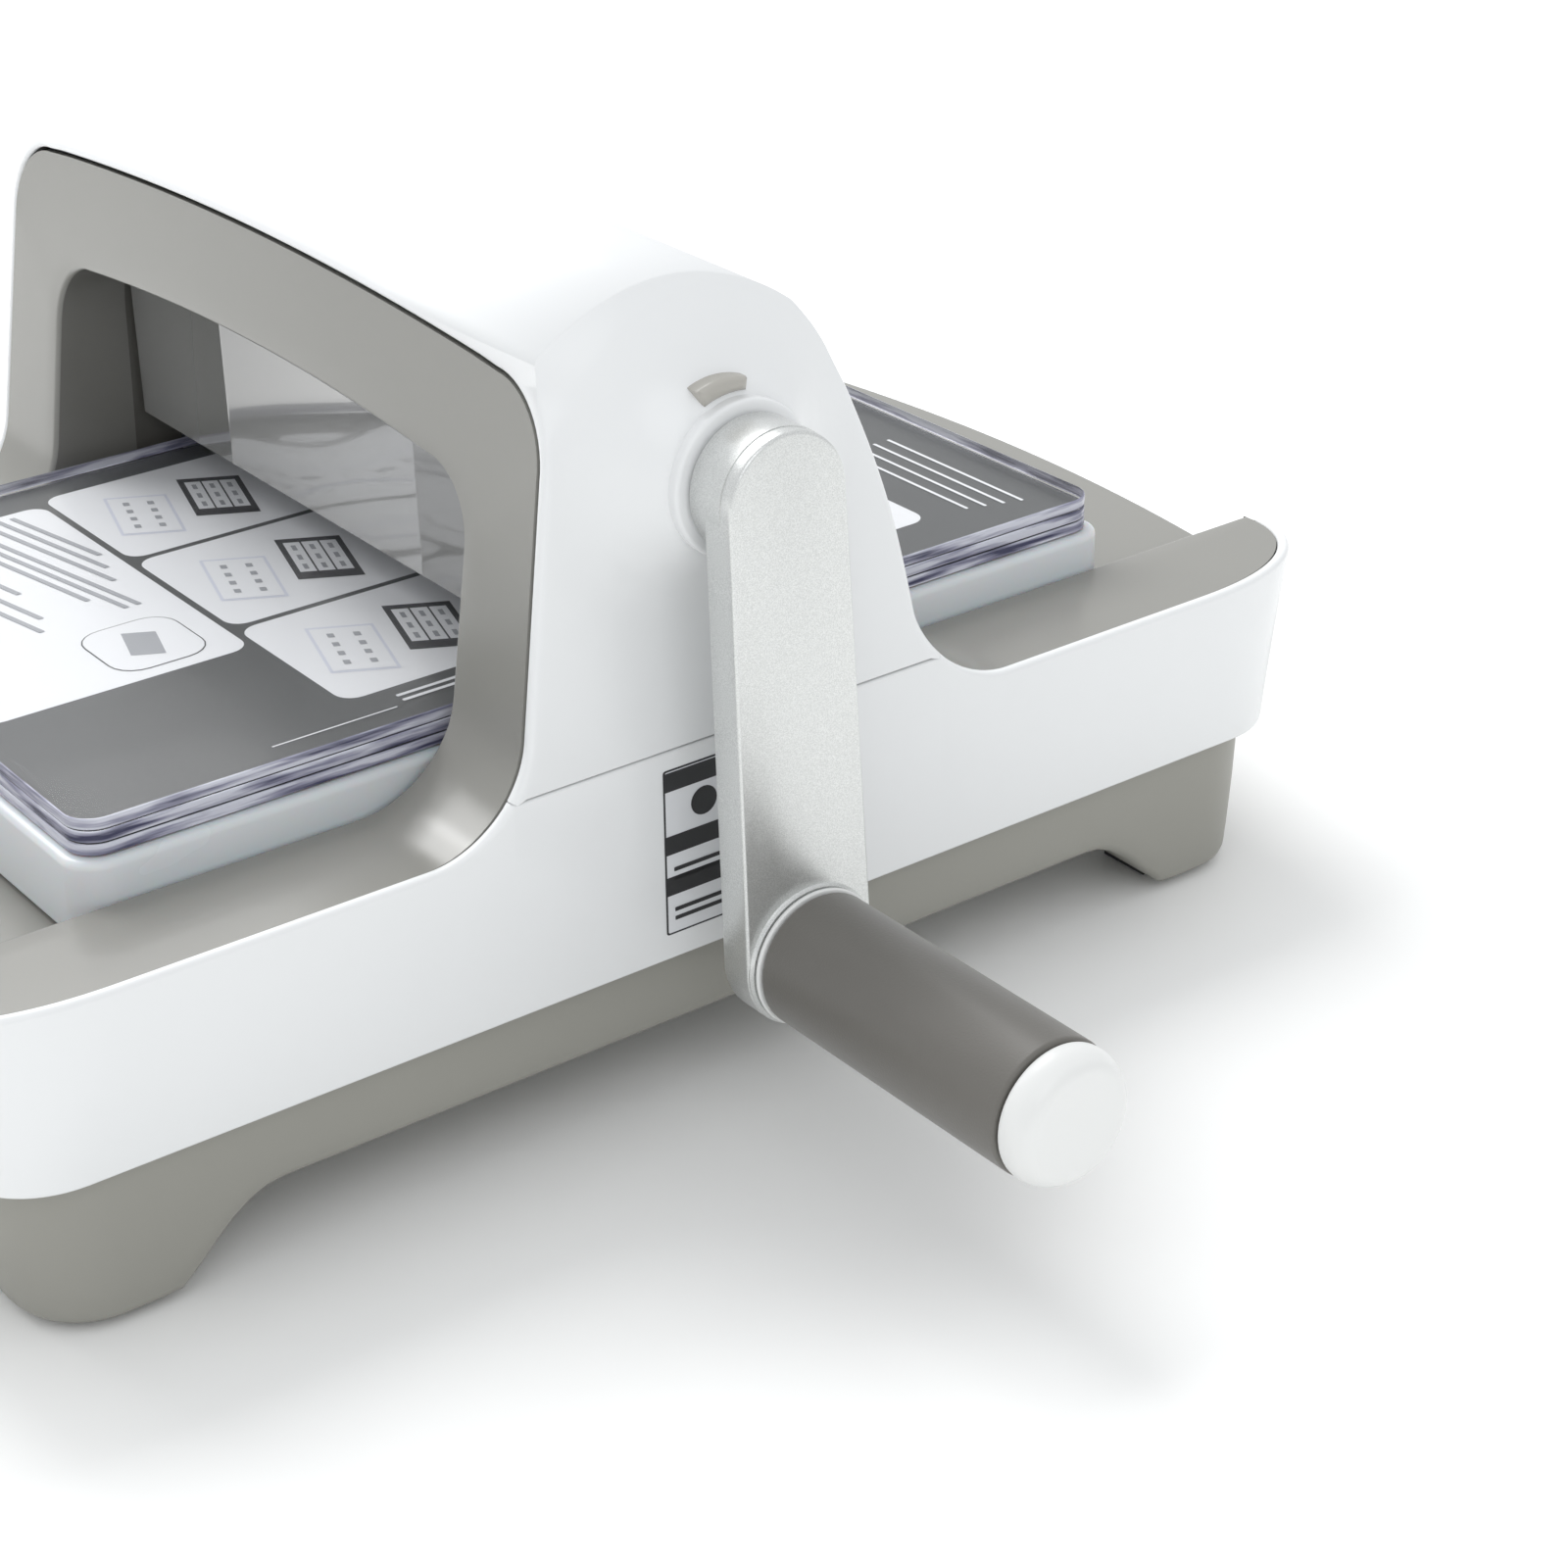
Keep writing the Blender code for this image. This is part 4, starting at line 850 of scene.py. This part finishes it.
def make_grip(foot):
    """Soft grip sleeve, the white ring before it and the domed white end cap."""
    centre = (foot[1], foot[2])
    sleeve = [(GRIP_START_X, 0.0043), (GRIP_START_X, GRIP_RADIUS), (GRIP_END_X, GRIP_RADIUS),
              (GRIP_END_X, 0.0043)]
    verts, faces = turned(rounded_profile(sleeve, 0.0008), centre)
    piece("grip_sleeve_soft", verts, faces, [GRIP], "grip", ["grip_sleeve"])
    cap = [(0.1991, 0.0043), (0.1991, 0.0133), (0.2026, 0.0133), (0.2060, 0.0112),
           (CAP_END_X, 0.0)]
    verts, faces = turned(rounded_profile(cap, 0.0024, 8), centre)
    piece("grip_end_cap_domed", verts, faces, [WHITE_SATIN], "grip", ["grip_end_cap"],
          angle=50)
    ring = [(0.1316, 0.0043), (0.1316, 0.0139), (0.1325, 0.0139), (0.1325, 0.0043)]
    verts, faces = turned(rounded_profile(ring, 0.0004), centre)
    piece("grip_ring_white", verts, faces, [WHITE_SATIN], "crank", ["grip_collar"])


def make_collar():
    """The fixed white collar round the hub, with a soft outer edge."""
    collar = [(0.1000, 0.0053), (0.1000, 0.0081), (DISH_X + 0.0004, 0.0081),
              (DISH_X + 0.0004, COLLAR_RADIUS), (COLLAR_X, COLLAR_RADIUS), (COLLAR_X, 0.0053)]
    verts, faces = turned(rounded_profile(collar, 0.0009), (0, HUB_Z))
    piece("hub_collar", verts, faces, [WHITE], "housing", ["crank_collar"])


def crescent(inset):
    """The release button's outline about the hub, thinner towards the rear."""
    start, stop = BUTTON_FROM + inset / BUTTON_IN, BUTTON_TO - inset / BUTTON_IN
    inside = arc((0, HUB_Z), BUTTON_IN + inset, start, stop, 16)
    outside = []
    for step in range(17):
        share = step / 16
        angle = stop + (start - stop) * share
        radius = BUTTON_OUT - inset - 0.0010 * share ** 2
        outside.append((radius * math.cos(angle), HUB_Z + radius * math.sin(angle)))
    return inside + outside


def make_button():
    """The crescent release button with pillowed edges."""
    rings = []
    for inset, x in ((0.0, 0.1000), (0.0, 0.1142), (0.0002, 0.1149), (0.0006, 0.1153),
                     (0.0011, BUTTON_X)):
        rings.append([(x, y, z) for y, z in crescent(inset)])
    verts, faces = loft(rings, ends=True)
    piece("release_button_soft", verts, faces, [BUTTON_GREY], "button", ["release_button"],
          angle=60)


def make_spring():
    """The button's coil spring, which shortens towards its bracket as the button goes in; here it
    is drawn as a fixed coil on the housing.
    """
    low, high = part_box("latch_spring")
    middle = ((low[1] + high[1]) / 2, (low[2] + high[2]) / 2)
    wire = 0.0003
    coil = (high[1] - low[1]) / 2 - wire
    turns, per_turn = 5, 16
    length = high[0] - low[0] - 2 * wire
    rings = []
    for step in range(turns * per_turn + 1):
        turn = math.tau * step / per_turn
        x = low[0] - MACHINE_X + wire + length * step / (turns * per_turn)
        ring = []
        for side in range(8):
            round_wire = math.tau * side / 8
            reach = coil + wire * math.cos(round_wire)
            ring.append((x + wire * math.sin(round_wire), middle[0] + reach * math.cos(turn),
                         middle[1] + reach * math.sin(turn)))
        rings.append(ring)
    verts, faces = loft(rings, ends=True)
    spring = piece("latch_coil", verts, faces, [STEEL], "housing", ["latch_spring"])
    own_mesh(spring)


# ---- plate stack -------------------------------------------------------------------------------
def make_stack():
    """Frosted base plate, printed sheet and two clear pads with tinted edges."""
    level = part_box("platform_base")[0][2]
    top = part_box("platform_base")[1][2]
    verts, faces = round_slab(PAD_X + 0.002, PAD_HALF_Y + 0.002, 0.007, level, top, 0.0016,
                              PAD_MID_Y)
    piece("base_plate_frosted", verts, faces, [FROSTED], "platform", ["platform_base"])
    for node, name, looks in (("printed_adapter", "printed_sheet_plain", [SHEET, CLEAR_EDGE]),
                              ("cutting_pad_lower", "clear_pad_lower", [CLEAR, CLEAR_EDGE]),
                              ("cutting_pad_upper", "clear_pad_upper", [CLEAR, CLEAR_EDGE])):
        low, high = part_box(node)[0][2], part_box(node)[1][2]
        verts, faces = round_slab(PAD_X, PAD_HALF_Y, 0.006, low, high, 0.0003, PAD_MID_Y)
        flat = [0 if len(face) > 4 else 1 for face in faces]
        piece(name, verts, faces, looks, "platform", [node], face_look=flat)


def flat_faces(outlines):
    """One face for each outline, a list of (x, y, z) points."""
    return merge(*((outline, [tuple(range(len(outline)))]) for outline in outlines))


def printed(name, shapes, z, look):
    """Flat printed shapes just above the sheet; each is a list of (x, y) points."""
    verts, faces = flat_faces([[(x, y, z) for x, y in shape] for shape in shapes])
    piece(name, verts, faces, [look], "platform")


def panel(low, high, radius, count=5):
    """A rounded rectangle between two corners."""
    half = ((high[0] - low[0]) / 2, (high[1] - low[1]) / 2)
    middle = ((high[0] + low[0]) / 2, (high[1] + low[1]) / 2)
    outline = rounded_rectangle(half[0], half[1], radius, count)
    return [(x + middle[0], y + middle[1]) for x, y in outline]


def picture(centre, half_along, half_across, shift=(0.0, 0.0)):
    """A skewed rectangle about a centre, as the pictures on the sheet are drawn."""
    points = []
    for sx, sy in ((1, 1), (-1, 1), (-1, -1), (1, -1)):
        along, across = shift[0] + sx * half_along, shift[1] + sy * half_across
        points.append((centre[0] + along * PICTURE_ALONG[0] + across * PICTURE_ACROSS[0],
                       centre[1] + along * PICTURE_ALONG[1] + across * PICTURE_ACROSS[1]))
    return points


def text_row(end, start_x, height):
    """A bar in place of a line of words, slightly askew, that ends at a point."""
    fall = (end[0] - start_x) * TEXT_SLOPE
    return [(start_x, end[1] - fall), (end[0], end[1]), (end[0], end[1] + height),
            (start_x, end[1] - fall + height)]


def steps_panel(x, shapes):
    """One of the three pictures in a row: a pale plate and a dark card with its cells."""
    white, pale, black, cells, marks = shapes
    white.append(panel((x, -0.0524), (x + 0.0420, -0.0060), 0.004))
    plate, card = (x + 0.0219, -0.0390), (x + 0.0223, -0.0215)
    pale.append(picture(plate, 0.0112, 0.0068))
    cells.append(picture(plate, 0.0103, 0.0061))
    black.append(picture(card, 0.0112, 0.0068))
    for row in (-0.0038, 0.0, 0.0038):
        cells.append(picture(card, 0.0082, 0.0017, (-0.0008, row)))
        for column in (-0.0058, -0.0005, 0.0046):
            marks.append(picture(card, 0.0014, 0.0005, (column, row)))
    for column in (-0.0066, -0.0022, 0.0022, 0.0066):
        for row in (-0.0026, 0.0026):
            marks.append(picture(plate, 0.0010, 0.0007, (column, row)))


def chart():
    """The instruction chart as plain shapes: panels, plate and card pictures, text bars."""
    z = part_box("cutting_pad_lower")[1][2] + 0.00006
    step = 0.00004
    outline = rounded_rectangle(PAD_X - 0.0008, PAD_HALF_Y - 0.0008, 0.0055)
    printed("chart_sheet", [[(x, y + PAD_MID_Y) for x, y in outline]], z - step, SHEET)
    shapes = white, pale, black, cells, marks = [], [], [], [], []
    white.append(panel((-0.0665, -0.1100), (0.0265, -0.0540), 0.004))
    for x in (-0.0697, -0.0260, 0.0177):
        steps_panel(x, shapes)
    for end in ((-0.0339, -0.0570), (-0.0270, -0.0588), (-0.0200, -0.0607), (-0.0060, -0.0622),
                (-0.0060, -0.0650), (-0.0140, -0.0695), (-0.0260, -0.0790), (-0.0120, -0.0808),
                (-0.0060, -0.0835)):
        marks.append(text_row(end, -0.0640, 0.0012))
    black.append(panel((0.0005, -0.0800), (0.0228, -0.0595), 0.0060))
    cells.append(panel((0.0008, -0.0797), (0.0225, -0.0598), 0.0057))
    marks.append(picture((0.0117, -0.0698), 0.0055, 0.0034))
    white.append(panel((-0.0300, 0.0480), (0.0610, 0.0885), 0.004))
    for y in (0.0980, 0.1020, 0.1060, 0.1100):
        cells.append(panel((0.0200, y), (0.0660 - (0.1100 - y) / 3, y + 0.0008), 0.0002))
    cells.append(panel((0.0676, -0.0725), (0.0680, -0.0458), 0.0001))
    for x in (0.0655, 0.0632):
        cells.append(panel((x, -0.0435), (x + 0.0010, -0.0080), 0.0003))
    printed("chart_panels", white, z, INK_WHITE)
    printed("chart_plates", pale, z + step, INK_PALE)
    printed("chart_cards", black, z + step, INK_BLACK)
    printed("chart_cells", cells, z + 2 * step, INK_WHITE)
    printed("chart_marks", marks, z + 3 * step, INK_GREY)


# ---- generic notice plate on the side ---------------------------------------------------
def notice_plate():
    """A plain notice beside the crank: dark bands, a plain sign and bars in place of words."""
    low, high = (-0.0142, 0.0385), (0.0058, 0.0738)

    def sheet(name, shapes, lift, look):
        outlines = []
        for shape in shapes:
            outlines.append([(SIDE_X + LOWER_DRAFT * (z - SEAM_Z) + lift, y, z)
                             for y, z in shape])
        verts, faces = flat_faces(outlines)
        piece(name, verts, faces, [look], "housing")

    sheet("notice_border", [panel(low, high, 0.0006)], 0.00006, INK_BLACK)
    inner = (low[0] + 0.0004, low[1] + 0.0004), (high[0] - 0.0004, high[1] - 0.0004)
    sheet("notice_face", [panel(*inner, 0.0004)], 0.00010, INK_WHITE)
    bands = [panel((low[0], z), (high[0], z + 0.0040), 0.0003)
             for z in (high[1] - 0.0046, 0.0558, 0.0470)]
    sign = arc((-0.0050, 0.0650), 0.0030, 0, math.tau * 23 / 24, 23)
    rows = []
    for start in (0.0520, 0.0433):
        for row in range(2):
            z = start - row * 0.0019
            end = high[0] - 0.004 + row * 0.002
            rows.append(panel((low[0] + 0.002, z), (end, z + 0.0009), 0.0002))
    sheet("notice_marks", bands + [sign] + rows, 0.00014, INK_BLACK)


# ---- carried-over CAD nodes ----------------------------------------------------------------------
def dress(node, look):
    """The material of a CAD node that stays."""
    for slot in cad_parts[node].material_slots:
        slot.material = look


def dress_cad_nodes():
    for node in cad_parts:
        if "bush" in node:
            dress(node, BRONZE)
        elif node.startswith("idler_gear"):
            dress(node, GREY)
        elif node.startswith("foot_pad"):
            dress(node, RUBBER)
        else:
            dress(node, STEEL)


# ---- studio -----------------------------------------------------------------------------
def make_camera():
    """Stands where the photograph was taken from, with the same framing."""
    azimuth, elevation, roll = math.radians(53.418), math.radians(27.326), math.radians(-1.202)
    back = Vector((math.sin(azimuth) * math.cos(elevation),
                   -math.cos(azimuth) * math.cos(elevation), math.sin(elevation)))
    right = Vector((math.cos(azimuth), math.sin(azimuth), 0))
    up = back.cross(right)
    across = math.cos(roll) * right + math.sin(roll) * up
    above = -math.sin(roll) * right + math.cos(roll) * up
    camera = bpy.data.cameras.new("camera")
    camera.lens = 74.769
    camera.sensor_width = 36
    camera.clip_start = 0.01
    obj = bpy.data.objects.new("camera", camera)
    obj.matrix_world = Matrix((across, above, back)).transposed().to_4x4()
    obj.location = (0.50366, -0.31554, 0.34769)
    bpy.context.scene.collection.objects.link(obj)
    bpy.context.scene.camera = obj


def softbox(name, location, target, size, power, colour=(1, 1, 1)):
    light = bpy.data.lights.new(name, "AREA")
    light.shape = "RECTANGLE"
    light.size, light.size_y = size
    light.energy = power
    light.color = colour
    obj = bpy.data.objects.new(name, light)
    obj.location = location
    obj.rotation_euler = (Vector(target) - Vector(location)).to_track_quat("-Z", "Y").to_euler()
    bpy.context.scene.collection.objects.link(obj)


def make_stage():
    mesh = bpy.data.meshes.new("floor")
    reach = 6.0
    mesh.from_pydata([(-reach, -reach, 0), (reach, -reach, 0), (reach, reach, 0),
                      (-reach, reach, 0)], [], [(0, 1, 2, 3)])
    mesh.materials.append(plastic("pale_floor", (0.94, 0.94, 0.93), 0.6, 0.02, grain=300.0,
                                  relief=0.01, drift=0.005))
    floor = bpy.data.objects.new("floor", mesh)
    floor.location = (0, 0, -0.0002)
    bpy.context.scene.collection.objects.link(floor)
    world = bpy.data.worlds.new("studio")
    world.use_nodes = True
    world.node_tree.nodes["Background"].inputs["Color"].default_value = (0.97, 0.985, 1.0, 1)
    world.node_tree.nodes["Background"].inputs["Strength"].default_value = 0.84
    bpy.context.scene.world = world
    bpy.context.scene.view_settings.view_transform = "Standard"
    softbox("key", (-1.0, 0.10, 1.4), (0, 0, 0.05), (1.0, 1.0), 18)
    softbox("side", (-1.15, -0.45, 0.95), (0, 0, 0.08), (0.6, 0.6), 5)
    softbox("fill", (1.5, -0.6, 1.3), (0.1, 0, 0.02), (1.2, 1.2), 5, (0.97, 0.985, 1.0))


make_camera()
make_stage()
make_band()
make_cover()
make_deck("front_tray_bezel", -1, "front_deck")
make_deck("rear_tray_bezel", 1, "rear_deck")
make_shield("front_guard_gloss", -1, "front_shield")
make_shield("rear_guard_gloss", 1, "rear_shield")
make_base()
make_collar()
make_button()
make_spring()
make_grip(make_crank_arm())
make_stack()
chart()
notice_plate()
dress_cad_nodes()
